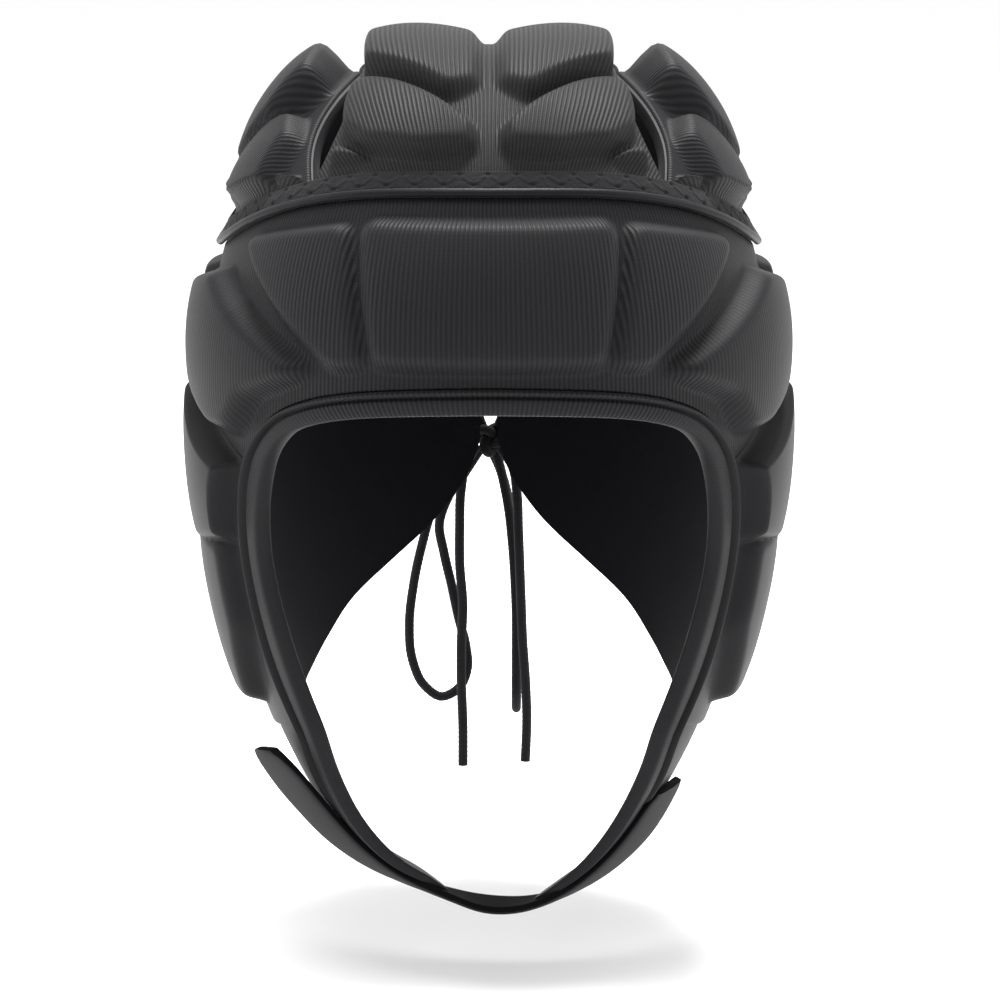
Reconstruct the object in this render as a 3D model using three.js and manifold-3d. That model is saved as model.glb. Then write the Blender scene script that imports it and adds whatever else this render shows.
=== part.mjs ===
// Soft shell football helmet: a padded knit cap with an open face, a chin strap and a laced nape.
// Millimetres, +Z up, -Y is the face side and +X the wearer's left. The origin is the top of the head.
import * as THREE from "three";
import Module from "manifold-3d";

const wasm = await Module();
wasm.setup();

// Head form that every panel wraps: half sizes, depths and how round it is
const HALF_WIDTH = 80;
const FRONT_REACH = 97;
const BACK_REACH = 100;
const CROWN_HEIGHT = 95.5;
const CHIN_DROP = 157;
const PLAN_ROUND = 2.25;
const CROWN_ROUND = 2.35;
const DROP_ROUND = 2.2;
const FRONT_TAPER = 0.171;
const BACK_TAPER = 0.377;
const CHIN_RISE = 14;
const WIDEST = -CROWN_HEIGHT;

// Walls, gaps and trims
const WALL = 5;
const SEAM_GAP = 0.3;
const STRIP_GAP = 0.7;
const CELL = 21;
const TAPE_WIDTH = 5;
const TAPE_THICK = 1;
const PIPING_RADIUS = 1.3;
const BINDING_WIDTH = 8;
const STRAP_THICK = 2.5;

// Levels below the top of the head
const PIPING_FRONT = 34.3;
const PIPING_DIP = 21;
const PIPING_POWER = 3.3;
const BROW_RIM = 84.2;
const CHEEK_END = 190.4;
const EAR_END = 200;
const NAPE_END = 133.4;

// Units of the pad tables: an eightieth of the half width, and a two-hundredth of the ear panel's depth
const PAD_UNIT = HALF_WIDTH / 80;
const LEVEL_UNIT = EAR_END / 200;

// Shares and allowances of the panels
const PAD_ROOT = 2.5;
const PAD_FOOT = 1.02;
const PAD_CREST = 0.91;
const PAD_CREST_RISE = 0.88;
const PAD_CUT = 0.8;
const PAD_CUT_MOST = 0.45;
const SHARP_ROUND = 3;
const PAD_ROOM = 4;
const BROW_END = 3;
const SLIT_INSET = 2;
const TAIL_LAP = 3;
const TAIL_REAR_THICK = 0.8;
const ROOM_DEPTH = -0.4;
const ROOM_HEIGHT = 3;

// Azimuths of the seams, in degrees from the front
const CROWN_CORNER = 39.5;
const TEMPLE_SEAM = 48.5;
const REAR_SEAM = 116;
const REAR_GAP = 6;

// Crown strips: half angle of the middle one at the top, and the slits beside it
const STRIP_ANGLE = 22.5;
const STRIP_FLARE = 3;
const SLIT_ANGLE = 6;
const REAR_SLIT_ANGLE = 1;
const SLIT_END = 44;
const SLIT_SKEW = 1.5;

// Nape lace
const CORD_RADIUS = 1.6;
const EYELET_HOLE = 2.7;
const EYELET_BARREL = 3.5;
const EYELET_FLANGE = 5;
const EYELET_THICK = 1;
const EYELET_SEAT = 1.2;
const EYELET_INSET = 10;
const EYELET_LEVELS = [72, 96, 120];
const KNOT_STAND = 10.5;
const KNOT = new THREE.Vector3(0.5, BACK_REACH + KNOT_STAND, -135);
const KNOT_HALF = new THREE.Vector3(6.5, 5.5, 6.5);

// Face rim: azimuth and level of the bead and of the opening's edge beside it.
// Levels are shares of the way from the brow rim to the end of the cheek.
const RIM = [
  { bead: 0, beadLevel: 0, edge: 0, edgeLevel: 0.069 },
  { bead: 22, beadLevel: 0.022, edge: 20, edgeLevel: 0.085 },
  { bead: 36.5, beadLevel: 0.088, edge: 33, edgeLevel: 0.132 },
  { bead: 45.5, beadLevel: 0.196, edge: 39.5, edgeLevel: 0.2 },
  { bead: 50, beadLevel: 0.3, edge: 43, edgeLevel: 0.29 },
  { bead: 52, beadLevel: 0.412, edge: 45.2, edgeLevel: 0.405 },
  { bead: 52.1, beadLevel: 0.525, edge: 45.7, edgeLevel: 0.53 },
  { bead: 50.8, beadLevel: 0.667, edge: 44, edgeLevel: 0.66 },
  { bead: 47.5, beadLevel: 0.827, edge: 40.5, edgeLevel: 0.82 },
  { bead: 40.7, beadLevel: 1, edge: 35.9, edgeLevel: 0.99 },
];

// Tail below the cheek: angle up from the chin, depths as shares of the front reach, and thickness
const TAIL = [
  { angle: 47, edge: 0.67, bead: 0.6, rear: 0.385, thick: 4.6, tuck: 0 },
  { angle: 38, edge: 0.652, bead: 0.58, rear: 0.385, thick: 4.2, tuck: 0 },
  { angle: 28, edge: 0.638, bead: 0.57, rear: 0.39, thick: 3.4, tuck: -1.2 },
  { angle: 19, edge: 0.625, bead: 0.565, rear: 0.41, thick: 2.5, tuck: -3 },
  { angle: 11, edge: 0.585, bead: 0.55, rear: 0.46, thick: 1.8, tuck: -3.2 },
];

// Chin strap: angle from the chin (minus on the free side), lift off the tail, how much further its rear
// edge stands off, and depths as above
const STRAP = [
  { angle: -50, lift: 5.6, splay: 2.5, front: 0.53, rear: 0.47 },
  { angle: -49.2, lift: 5.3, splay: 3, front: 0.575, rear: 0.41 },
  { angle: -47, lift: 4.2, splay: 4, front: 0.605, rear: 0.365 },
  { angle: -43, lift: 2.2, splay: 5, front: 0.605, rear: 0.35 },
  { angle: -38, lift: 0.7, splay: 5.2, front: 0.605, rear: 0.35 },
  { angle: -31, lift: 0.1, splay: 5, front: 0.61, rear: 0.355 },
  { angle: -21, lift: 0, splay: 3.5, front: 0.62, rear: 0.365 },
  { angle: -10, lift: 0, splay: 1.2, front: 0.635, rear: 0.38 },
  { angle: 0, lift: 0, splay: 0, front: 0.64, rear: 0.39 },
  { angle: 10, lift: 0, splay: 1.2, front: 0.635, rear: 0.38 },
  { angle: 21, lift: 0, splay: 3.2, front: 0.62, rear: 0.36 },
  { angle: 32, lift: 0, splay: 3.5, front: 0.61, rear: 0.345 },
  { angle: 40, lift: 0, splay: 1.8, front: 0.605, rear: 0.34 },
  { angle: 42.5, lift: 0, splay: 1, front: 0.58, rear: 0.37 },
];

// Free cords: hand-chosen points of each route, from the knot outwards
const CORD_ROUTES = {
  lace_loop_right: [
    [-3, 112, -139], [-8, 113, -147], [-14, 113, -156], [-17, 112, -165], [-15.5, 112, -175],
    [-13, 112, -186], [-10.5, 112, -198], [-8, 112, -208], [-7.5, 112, -216], [-10.5, 112, -223],
    [-16.5, 112, -226], [-22.5, 112.5, -222], [-26.5, 113, -213], [-27.5, 114, -201], [-26, 115, -187],
    [-23, 116.5, -173], [-19, 117.5, -160], [-12, 117.5, -149], [-4, 115, -141],
  ],
  lace_tail_right: [
    [-3.8, 107.8, -136.8], [-7.5, 107, -142.5], [-9.5, 106.5, -152], [-10, 106.5, -165], [-10, 106.5, -178],
    [-9, 106.5, -192], [-9.5, 106.5, -206], [-9.5, 106.5, -220], [-9, 106.5, -235], [-9, 106.5, -249],
  ],
  lace_loop_left: [
    [2.5, 112, -140], [4.5, 111, -148], [6.5, 110.5, -158], [8, 110.5, -171], [9, 110.5, -186],
    [9.5, 110.5, -201], [9.5, 110.5, -215], [9.5, 111.5, -225], [9.5, 117.5, -231.5], [9.5, 123.5, -225],
    [9.5, 124.5, -215], [9.5, 124, -201], [9, 123, -186], [8, 121.5, -171], [6.5, 119.5, -157],
    [3.5, 116, -146], [1, 114, -140],
  ],
  lace_tail_left: [
    [4, 108, -138], [8, 105.5, -144], [9.5, 104.5, -153], [10, 104.5, -165], [10.5, 104.5, -178],
    [11, 104.5, -191], [11.5, 104.5, -204], [12.5, 104.5, -218], [13, 104.5, -233], [12.5, 104.5, -247],
  ],
};

// Moulded pads. The centre is a chart position, and the corners are pad units from it: across towards
// the wearer's left or round the back, and up, or forward on the crown. Heights are pad units too, and
// levels on the band are level units. A pad's lean is how much it rises towards its plus side, for each
// unit across. Mirrored pads stand on both sides.
const BROW_PADS = [
  { at: [0, -60], corners: [[-37, 19], [37, 19], [30, -19.5], [-30, -19.5]], round: 5, height: 6 },
  {
    at: [36, -61],
    corners: [[-17, 19], [27, 12], [-17, -20], [-27, -19]],
    round: 4, height: 5, mirror: true,
  },
  {
    at: [55.5, -81.5],
    corners: [[-41, 0], [6, 22], [36, 18], [44, 3], [30, -12], [1, -21], [-11, -21], [-20, -9]],
    round: 4, height: 8.5, mirror: true,
  },
  { at: [96, -67.5], corners: [[-9, 5], [14, 6], [8, -3], [-7, -11]], round: 3, height: 5, mirror: true },
];
const SIDE_PADS = [
  {
    at: [63.5, -119.5],
    corners: [[-22, 15], [-8, 21], [24, 26], [37, 24], [37, -17], [13, -22], [-19, -15]],
    round: 5, height: 9,
  },
  {
    at: [68, -161],
    corners: [[-17, 25], [20, 27], [24, 6], [14, -26], [-15, -26], [-21, 0]],
    round: 5, height: 7.5,
  },
  { at: [103.5, -84], corners: [[-14, -16], [13, -16], [13, 25], [6, 18], [-14, 2]], round: 4, height: 6 },
  { at: [103, -125], corners: [[-14, 20], [14, 20], [14, -20], [-12, -20]], round: 5, height: 7 },
  { at: [100, -172], corners: [[-12, 20], [18, 20], [18, -18], [-10, -20]], round: 5, height: 6 },
];
const REAR_PADS = [
  { at: [133, -72], corners: [[-20, 19], [22, 24], [18, -17], [-20, -17]], round: 5, height: 6 },
  { at: [157.5, -68], corners: [[-16, 22], [17, 24], [17, -14], [-19, -14]], round: 5, height: 6 },
  { at: [133, -118], corners: [[-20, 22], [19, 22], [15, -22], [-20, -22]], round: 6, height: 7 },
  {
    at: [157.5, -113],
    corners: [[-16, 24], [17, 24], [17, -6], [2, -24], [-16, -24]],
    round: 5, height: 6,
  },
  { at: [130, -163], corners: [[-18, 16], [20, 16], [14, -8], [-2, -20], [-18, -22]], round: 5, height: 5 },
];
const CENTRE_PADS = [
  {
    at: [11, 13],
    corners: [[-15, -30], [15, -30], [16, 14], [-6, 33], [-15, 27]],
    round: 4, height: 8.5, lean: 0.25, mirror: true,
  },
  {
    at: [14.5, 35],
    corners: [[9, -22], [15, -19], [19, 3], [15, 12], [0, 18], [-16, 18], [-17, 10]],
    round: 4, height: 7, mirror: true,
  },
  { at: [29.5, 42.3], corners: [[0, -7], [7, 4], [-7, 4]], round: 2, height: 4, mirror: true },
  {
    at: [11, -15],
    corners: [[-15, 10], [15, 10], [16, -7], [-6, -13], [-15, -11]],
    round: 4, height: 8.5, lean: 0.25, mirror: true,
  },
  {
    at: [14.5, -37],
    corners: [[9, 22], [15, 19], [19, -4], [15, -14], [0, -20], [-18, -20], [-19, -12]],
    round: 4, height: 7, mirror: true,
  },
  { at: [29.5, -42.3], corners: [[0, 7], [7, -4], [-7, -4]], round: 2, height: 4, mirror: true },
];
const CROWN_SIDE_PADS = [
  {
    at: [36, 4],
    corners: [[-18.5, -17], [14, -19], [20, 6], [13, 14], [2, 18], [-14, 13], [-18, 0]],
    round: 4, height: 12, lean: -0.2,
  },
  {
    at: [42.5, 27],
    corners: [[-15, -8], [-12, 4], [5, 16], [13, 11], [18, -4], [10, -19], [-8, -17]],
    round: 4, height: 7.5,
  },
  { at: [54.5, 9], corners: [[-7, -15], [7, -15], [8, 12], [2, 15], [-6, 9]], round: 3, height: 3.5 },
  { at: [41.5, 40], corners: [[-5, 1], [2, -6], [5, 3], [0, 6]], round: 1.5, height: 3 },
  {
    at: [42.5, -29],
    corners: [[-15, 8], [-12, -4], [5, -16], [13, -11], [18, 4], [10, 17], [-8, 17]],
    round: 4, height: 9,
  },
  { at: [54.5, -20], corners: [[-7, 14], [7, 14], [8, -12], [2, -15], [-6, -9]], round: 3, height: 7 },
];

const KNIT = new THREE.MeshStandardMaterial({ color: 0x2d2d30, roughness: 0.9 });
const TRIM = new THREE.MeshStandardMaterial({ color: 0x232326, roughness: 0.8 });
const STRAP_CLOTH = new THREE.MeshStandardMaterial({ color: 0x29292c, roughness: 0.9 });
const CORD = new THREE.MeshStandardMaterial({ color: 0x151518, roughness: 0.85 });
const METAL = new THREE.MeshStandardMaterial({ color: 0x202022, roughness: 0.4, metalness: 0.8 });

const radians = THREE.MathUtils.degToRad;
const degrees = THREE.MathUtils.radToDeg;
const mix = THREE.MathUtils.lerp;

// Sizes of the form at a share of the drop from its widest level to the chin
function formSizes(share) {
  return {
    side: HALF_WIDTH * Math.sqrt(1 - share ** DROP_ROUND),
    front: FRONT_REACH * (1 - FRONT_TAPER * share ** 2),
    back: BACK_REACH * (1 - BACK_TAPER * share ** 2),
  };
}

// Chart of the band round the head: azimuth from the front in degrees, and height
function onBand(azimuth, z) {
  const across = Math.sin(radians(azimuth));
  const ahead = Math.cos(radians(azimuth));
  const sizes = formSizes(Math.max((WIDEST - z) / CHIN_DROP, 0));
  const depth = ahead > 0 ? sizes.front : sizes.back;
  const up = Math.max(z - WIDEST, 0) / CROWN_HEIGHT;
  const level = (1 - up ** CROWN_ROUND) ** (1 / CROWN_ROUND);
  const plan = Math.abs(across / sizes.side) ** PLAN_ROUND + Math.abs(ahead / depth) ** PLAN_ROUND;
  const reach = level / plan ** (1 / PLAN_ROUND);
  return new THREE.Vector3(reach * across, -reach * ahead, z);
}

// Chart of the crown: roll to the wearer's left and pitch to the front, both in degrees from the top
function onCrown(roll, pitch) {
  const ray = new THREE.Vector3(Math.tan(radians(roll)), -Math.tan(radians(pitch)), 1);
  const depth = ray.y < 0 ? FRONT_REACH : BACK_REACH;
  const plan = Math.abs(ray.x / HALF_WIDTH) ** PLAN_ROUND + Math.abs(ray.y / depth) ** PLAN_ROUND;
  const level = (1 / CROWN_HEIGHT) ** CROWN_ROUND;
  const scale = (plan ** (CROWN_ROUND / PLAN_ROUND) + level) ** (1 / CROWN_ROUND);
  return ray.divideScalar(scale).setZ(ray.z + WIDEST);
}

// Chart of the chin: angle up from the chin in degrees, plus on the wearer's left, and the depth y
function onChin(angle, y) {
  const share = Math.cos(radians(angle));
  const sizes = formSizes(share);
  const depth = y < 0 ? sizes.front : sizes.back;
  const width = sizes.side * (1 - Math.abs(y / depth) ** PLAN_ROUND) ** (1 / PLAN_ROUND);
  const rise = CHIN_RISE * share ** 6 * (y / FRONT_REACH) ** 2;
  return new THREE.Vector3(Math.sign(angle) * width, y, WIDEST - CHIN_DROP * share + rise);
}

const BAND = { at: onBand, turn: 1 };
const CROWN = { at: onCrown, turn: -1 };
const CHIN = { at: onChin, turn: -1 };
const STEP = 0.05;

// Slopes of a chart at a position: millimetres of surface for one unit of each coordinate
function slopes(chart, u, v) {
  const across = chart.at(u + STEP, v).sub(chart.at(u - STEP, v)).divideScalar(2 * STEP);
  const along = chart.at(u, v + STEP).sub(chart.at(u, v - STEP)).divideScalar(2 * STEP);
  return { across, along };
}

function outward(chart, u, v) {
  const { across, along } = slopes(chart, u, v);
  return across.cross(along).multiplyScalar(chart.turn).normalize();
}

function lifted(chart, [u, v], lift) {
  return chart.at(u, v).addScaledVector(outward(chart, u, v), lift);
}

// Crown chart position of a point on the form
function crownPosition(point) {
  const up = point.z - WIDEST;
  return [degrees(Math.atan2(point.x, up)), degrees(Math.atan2(-point.y, up))];
}

// Chin chart position of a point on the form
function chinPosition(point) {
  const angle = degrees(Math.acos(Math.min((WIDEST - point.z) / CHIN_DROP, 1)));
  return [Math.sign(point.x) * angle, point.y];
}

// Smooth curve through chart positions
function through(positions) {
  const points = positions.map(([u, v]) => new THREE.Vector3(u, v, 0));
  const curve = new THREE.CatmullRomCurve3(points, false, "catmullrom", 0.5);
  return (share) => {
    const point = curve.getPoint(Math.min(Math.max(share, 0), 1));
    return [point.x, point.y];
  };
}

const between = (a, b, share) => [mix(a[0], b[0], share), mix(a[1], b[1], share)];
const mirrored = ([u, v]) => [-u, v];

// Patch whose four sides follow the given curves, in chart positions
function coons(bottom, top, left, right) {
  return (s, t) => {
    const ruledUp = between(bottom(s), top(s), t);
    const ruledAcross = between(left(t), right(t), s);
    const flat = between(between(bottom(0), bottom(1), s), between(top(0), top(1), s), t);
    return [0, 1].map((i) => ruledUp[i] + ruledAcross[i] - flat[i]);
  };
}

// Solid from rings of points, closed by a fan at each end, whose last centre may be given
function ringSolid(rings, crest = middle(rings.at(-1))) {
  const size = rings[0].length;
  const vertices = rings.flat();
  const faces = [];
  rings.slice(1).forEach((ring, row) => {
    for (let i = 0; i < size; i++) {
      const a = row * size + i;
      const b = row * size + ((i + 1) % size);
      faces.push([a, b, b + size], [a, b + size, a + size]);
    }
  });
  const last = vertices.length - size;
  vertices.push(middle(rings[0]), crest);
  for (let i = 0; i < size; i++) {
    const next = (i + 1) % size;
    faces.push([next, i, vertices.length - 2], [last + i, last + next, vertices.length - 1]);
  }
  return solid(vertices, faces);
}

function middle(points) {
  const sum = points.reduce((total, point) => total.add(point), new THREE.Vector3());
  return sum.divideScalar(points.length);
}

// Manifold from vertices and faces, turned so that its faces point out
function solid(vertices, faces) {
  const volume = faces.reduce((sum, [a, b, c]) => {
    return sum + vertices[a].dot(vertices[b].clone().cross(vertices[c]));
  }, 0);
  const turned = volume < 0 ? faces.map(([a, b, c]) => [a, c, b]) : faces;
  return new wasm.Manifold(
    new wasm.Mesh({
      numProp: 3,
      vertProperties: new Float32Array(vertices.flatMap((vertex) => vertex.toArray())),
      triVerts: new Uint32Array(turned.flat()),
    }),
  );
}

// Wall over a patch, between two lifts off the form
function wall(chart, patch, columns, rows, inner, outer) {
  const vertices = [];
  const faces = [];
  const width = columns + 1;
  const layer = width * (rows + 1);
  for (const lift of [inner, outer]) {
    for (let j = 0; j <= rows; j++) {
      for (let i = 0; i <= columns; i++) {
        vertices.push(lifted(chart, patch(i / columns, j / rows), lift));
      }
    }
  }
  for (let j = 0; j < rows; j++) {
    for (let i = 0; i < columns; i++) {
      const a = j * width + i;
      const [b, c, d] = [a + 1, a + width, a + width + 1];
      faces.push([a, d, b], [a, c, d]);
      faces.push([a + layer, b + layer, d + layer], [a + layer, d + layer, c + layer]);
    }
  }
  const border = [];
  for (let i = 0; i < columns; i++) border.push(i);
  for (let j = 0; j < rows; j++) border.push(j * width + columns);
  for (let i = columns; i > 0; i--) border.push(rows * width + i);
  for (let j = rows; j > 0; j--) border.push(j * width);
  border.forEach((a, k) => {
    const b = border[(k + 1) % border.length];
    faces.push([a, b, b + layer], [a, b + layer, a + layer]);
  });
  return solid(vertices, faces);
}

// Outline with each corner cut back to two points, unless it is a sharp one
function roundedOutline(corners, round) {
  const points = corners.map(([x, y]) => new THREE.Vector2(x, y));
  return points.flatMap((corner, i) => {
    const before = points[(i + points.length - 1) % points.length];
    const after = points[(i + 1) % points.length];
    if (round <= SHARP_ROUND) return [corner];
    const shorter = Math.min(corner.distanceTo(before), corner.distanceTo(after));
    const cut = Math.min(round * PAD_CUT, shorter * PAD_CUT_MOST);
    const start = corner.clone().add(before.clone().sub(corner).setLength(cut));
    const end = corner.clone().add(after.clone().sub(corner).setLength(cut));
    return [start, end];
  });
}

// Pad raised on the wall, flipped across when it stands on the other side
function pad(chart, { at, corners, round, height, lean = 0 }, flip = 1) {
  const centre = [at[0], chart === BAND ? at[1] * LEVEL_UNIT : at[1]];
  const { across, along } = slopes(chart, ...centre);
  const scale = [across.length() / PAD_UNIT, along.length() / PAD_UNIT];
  const outline = roundedOutline(corners, round);
  const ring = (size, lift, slant) =>
    outline.map((p) => {
      const position = [flip * (centre[0] + (p.x * size) / scale[0]), centre[1] + (p.y * size) / scale[1]];
      return lifted(chart, position, lift + slant * p.x * size * PAD_UNIT);
    });
  const rise = height * PAD_UNIT;
  const rings = [ring(PAD_FOOT, WALL - PAD_ROOT, 0), ring(PAD_CREST, WALL + PAD_CREST_RISE * rise, lean)];
  return ringSolid(rings, lifted(chart, [flip * centre[0], centre[1]], WALL + rise));
}

// Padded panel: its wall, and its pads kept within its own outline
function paddedPanel(chart, patch, columns, rows, pads, flip = 1) {
  const room = wall(chart, patch, columns, rows, PIPING_RADIUS, WALL * PAD_ROOM);
  return pads
    .flatMap((row) => (row.mirror ? [pad(chart, row, 1), pad(chart, row, -1)] : [pad(chart, row, flip)]))
    .map((raised) => raised.intersect(room))
    .reduce((panel, raised) => panel.add(raised), wall(chart, patch, columns, rows, 0, WALL));
}

const cells = (length) => Math.max(Math.round(length / CELL), 1);

// Level of the crown seam at an azimuth
function seamLevel(azimuth) {
  return -(PIPING_FRONT + PIPING_DIP * Math.abs(Math.sin(radians(azimuth))) ** PIPING_POWER);
}

// Position across the face rim: share 0 at the opening's edge, 1 at the bead
const rimLevel = (share) => -mix(BROW_RIM, CHEEK_END, share);
const rightRim = RIM.slice(1).map((row) => ({ ...row, bead: -row.bead, edge: -row.edge }));
const rimRows = [...rightRim.reverse(), ...RIM];
const beadCurve = through(rimRows.map((row) => [row.bead, rimLevel(row.beadLevel)]));
const edgeCurve = through(rimRows.map((row) => [row.edge, rimLevel(row.edgeLevel)]));
const rimAt = (along, across) => between(edgeCurve(along), beadCurve(along), across);

// Share of the rim's width that the panels run under the binding
const PANEL_EDGE = 0.8;
const BISECTIONS = 40;

// Share along the rim at which the bead passes an azimuth on the wearer's left, above the ear
function rimShareAt(azimuth) {
  let [low, high] = [0.5, 0.8];
  for (let i = 0; i < BISECTIONS; i++) {
    const half = (low + high) / 2;
    if (beadCurve(half)[0] < azimuth) low = half;
    else high = half;
  }
  return low;
}
const TEMPLE_SHARE = rimShareAt(TEMPLE_SEAM);

// Seam between brow and side panel, from the rim up to the crown seam
const TEMPLE_BEND = [
  { share: 0, sag: 0 },
  { share: 0.32, sag: 8.5 },
  { share: 0.6, sag: 8 },
  { share: 1, sag: 1.6 },
];
const templeStart = rimAt(TEMPLE_SHARE, PANEL_EDGE);
const templeCurve = through(
  TEMPLE_BEND.map(({ share, sag }) => {
    const [azimuth, level] = between(templeStart, [REAR_SEAM, seamLevel(REAR_SEAM)], share);
    return [azimuth, level - sag];
  }),
);

// Crown strip edges: roll of the middle strip's edge and of the slit's outer edge at a pitch
const crownCorner = crownPosition(onBand(CROWN_CORNER, seamLevel(CROWN_CORNER)));
function stripEdge(pitch) {
  const flare = Math.abs(pitch / crownCorner[1]) ** STRIP_FLARE;
  return mix(STRIP_ANGLE, crownCorner[0], flare);
}
function slitEdge(pitch) {
  const along = Math.min(Math.abs(pitch) / SLIT_END, 1) ** SLIT_SKEW;
  const open = pitch > 0 ? SLIT_ANGLE : REAR_SLIT_ANGLE;
  return stripEdge(pitch) + open * Math.sin(Math.PI * along) + degrees(STRIP_GAP / HALF_WIDTH);
}

// Middle strip of the crown, front seam to rear seam
function crownCentre() {
  const pitchAt = (t) => mix(crownCorner[1], -crownCorner[1], t);
  const seam = (s, rear) => {
    const azimuth = mix(-CROWN_CORNER, CROWN_CORNER, s);
    return crownPosition(onBand(rear ? 180 - azimuth : azimuth, seamLevel(azimuth) + SEAM_GAP));
  };
  const front = (s) => seam(s, false);
  const rear = (s) => seam(s, true);
  const left = (t) => [-stripEdge(pitchAt(t)), pitchAt(t)];
  const right = (t) => [stripEdge(pitchAt(t)), pitchAt(t)];
  const patch = coons(front, rear, left, right);
  const [columns, rows] = [cells(HALF_WIDTH), cells(2 * FRONT_REACH)];
  return paddedPanel(CROWN, patch, columns, rows, CENTRE_PADS);
}

// Side strip of the crown, from the slits out to the crown seam
function crownSide(side) {
  const azimuthAt = (t) => mix(CROWN_CORNER + SLIT_INSET, 180 - CROWN_CORNER - SLIT_INSET, t);
  const outer = (t) => crownPosition(onBand(azimuthAt(t), seamLevel(azimuthAt(t)) + SEAM_GAP));
  const pitchEnd = crownCorner[1] - SLIT_INSET;
  const inner = (t) => {
    const pitch = mix(pitchEnd, -pitchEnd, t);
    return [slitEdge(pitch), pitch];
  };
  const front = (s) => between(inner(0), outer(0), s);
  const rear = (s) => between(inner(1), outer(1), s);
  const patch = coons(front, rear, inner, outer);
  const sided = (s, t) => (side > 0 ? patch(s, t) : mirrored(patch(s, t)));
  return paddedPanel(CROWN, sided, cells(HALF_WIDTH / 2), cells(2 * HALF_WIDTH), CROWN_SIDE_PADS, side);
}

const BROW_ROWS = 3;

// Brow panel: from the rim and the temple seams up to the crown seam
function browPanel() {
  const reach = REAR_SEAM - BROW_END;
  const lower = (s) => {
    const azimuth = mix(-reach, reach, s);
    return [azimuth, lowerBrow(Math.abs(azimuth))];
  };
  const upper = (s) => {
    const azimuth = mix(-reach, reach, s);
    return [azimuth, seamLevel(azimuth) - SEAM_GAP];
  };
  const patch = (s, t) => between(lower(s), upper(s), t);
  return paddedPanel(BAND, patch, cells(FRONT_REACH * 4), BROW_ROWS, BROW_PADS);
}

// Lowest level of the brow panel at an azimuth: on the rim in front, on the temple seam beside it
function lowerBrow(azimuth) {
  const onRim = azimuth < templeStart[0];
  const curve = onRim ? (share) => rimAt(mix(0.5, TEMPLE_SHARE, share), PANEL_EDGE) : templeCurve;
  let [low, high] = [0, 1];
  for (let i = 0; i < BISECTIONS; i++) {
    const half = (low + high) / 2;
    if (curve(half)[0] < azimuth) low = half;
    else high = half;
  }
  return curve(low)[1] + (onRim ? 0 : SEAM_GAP);
}

// Tail rows of one side, from the end of the cheek down to the tip, with the depths in millimetres
function tailRows(side) {
  const bead = chinPosition(onBand(...beadCurve(1)));
  const edge = chinPosition(onBand(...edgeCurve(1)));
  const root = { angle: (bead[0] + edge[0]) / 2, edge: edge[1], bead: bead[1], thick: WALL, tuck: 0 };
  const rear = -TAIL[0].rear * FRONT_REACH;
  const rows = TAIL.map((row) => ({
    angle: row.angle,
    edge: -row.edge * FRONT_REACH,
    bead: -row.bead * FRONT_REACH,
    rear: -row.rear * FRONT_REACH,
    thick: row.thick,
    tuck: side < 0 ? row.tuck : 0,
  }));
  return [{ ...root, rear }, ...rows];
}

// Value of one column of the tail's rows at an angle
function tailValue(rows, column, angle) {
  const after = rows.findIndex((row) => row.angle <= angle);
  if (after === 0) return rows[0][column];
  if (after < 0) return rows.at(-1)[column];
  const [a, b] = [rows[after - 1], rows[after]];
  const share = THREE.MathUtils.smoothstep(angle, b.angle, a.angle);
  return mix(b[column], a[column], share);
}

const TAIL_STATIONS = 10;

// Band along a tail, lofted through sections whose corners are given by depth and lift
function tailBand(side, section) {
  const rows = tailRows(side);
  const from = rows[0].angle + TAIL_LAP;
  const to = rows.at(-1).angle;
  const rings = [];
  for (let k = 0; k <= TAIL_STATIONS; k++) {
    const angle = mix(from, to, k / TAIL_STATIONS);
    const value = (column) => tailValue(rows, column, angle);
    rings.push(section(value).map(([y, lift]) => lifted(CHIN, [side * angle, y], lift + value("tuck"))));
  }
  return ringSolid(rings);
}

// Room round the binding that the panels stay out of, down to the tips of the tails
function rimRoom() {
  const onTail = (value) => [
    [value("edge") - BINDING_WIDTH, ROOM_DEPTH * WALL],
    [value("edge") - BINDING_WIDTH, ROOM_HEIGHT * WALL],
    [value("bead") + SEAM_GAP, ROOM_HEIGHT * WALL],
    [value("bead") + SEAM_GAP, ROOM_DEPTH * WALL],
  ];
  return rimBand(ROOM_SECTION).add(tailBand(-1, onTail)).add(tailBand(1, onTail));
}

// Tail of a side panel, behind its binding
function tail(side) {
  return tailBand(side, (value) => {
    const [front, rear, thick] = [value("bead") - 1, value("rear"), value("thick")];
    const centre = (front + rear) / 2;
    return [
      [front, 0],
      [centre, 0],
      [rear, 0],
      [rear, thick * TAIL_REAR_THICK],
      [centre, thick],
      [front, thick],
    ];
  });
}

// Foot of the ear panel behind the cheek: azimuth, and rise above the lowest level
const EAR_FOOT = [
  { azimuth: 57, rise: 4.6 },
  { azimuth: 74, rise: 1 },
  { azimuth: 95, rise: 0 },
];

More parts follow.
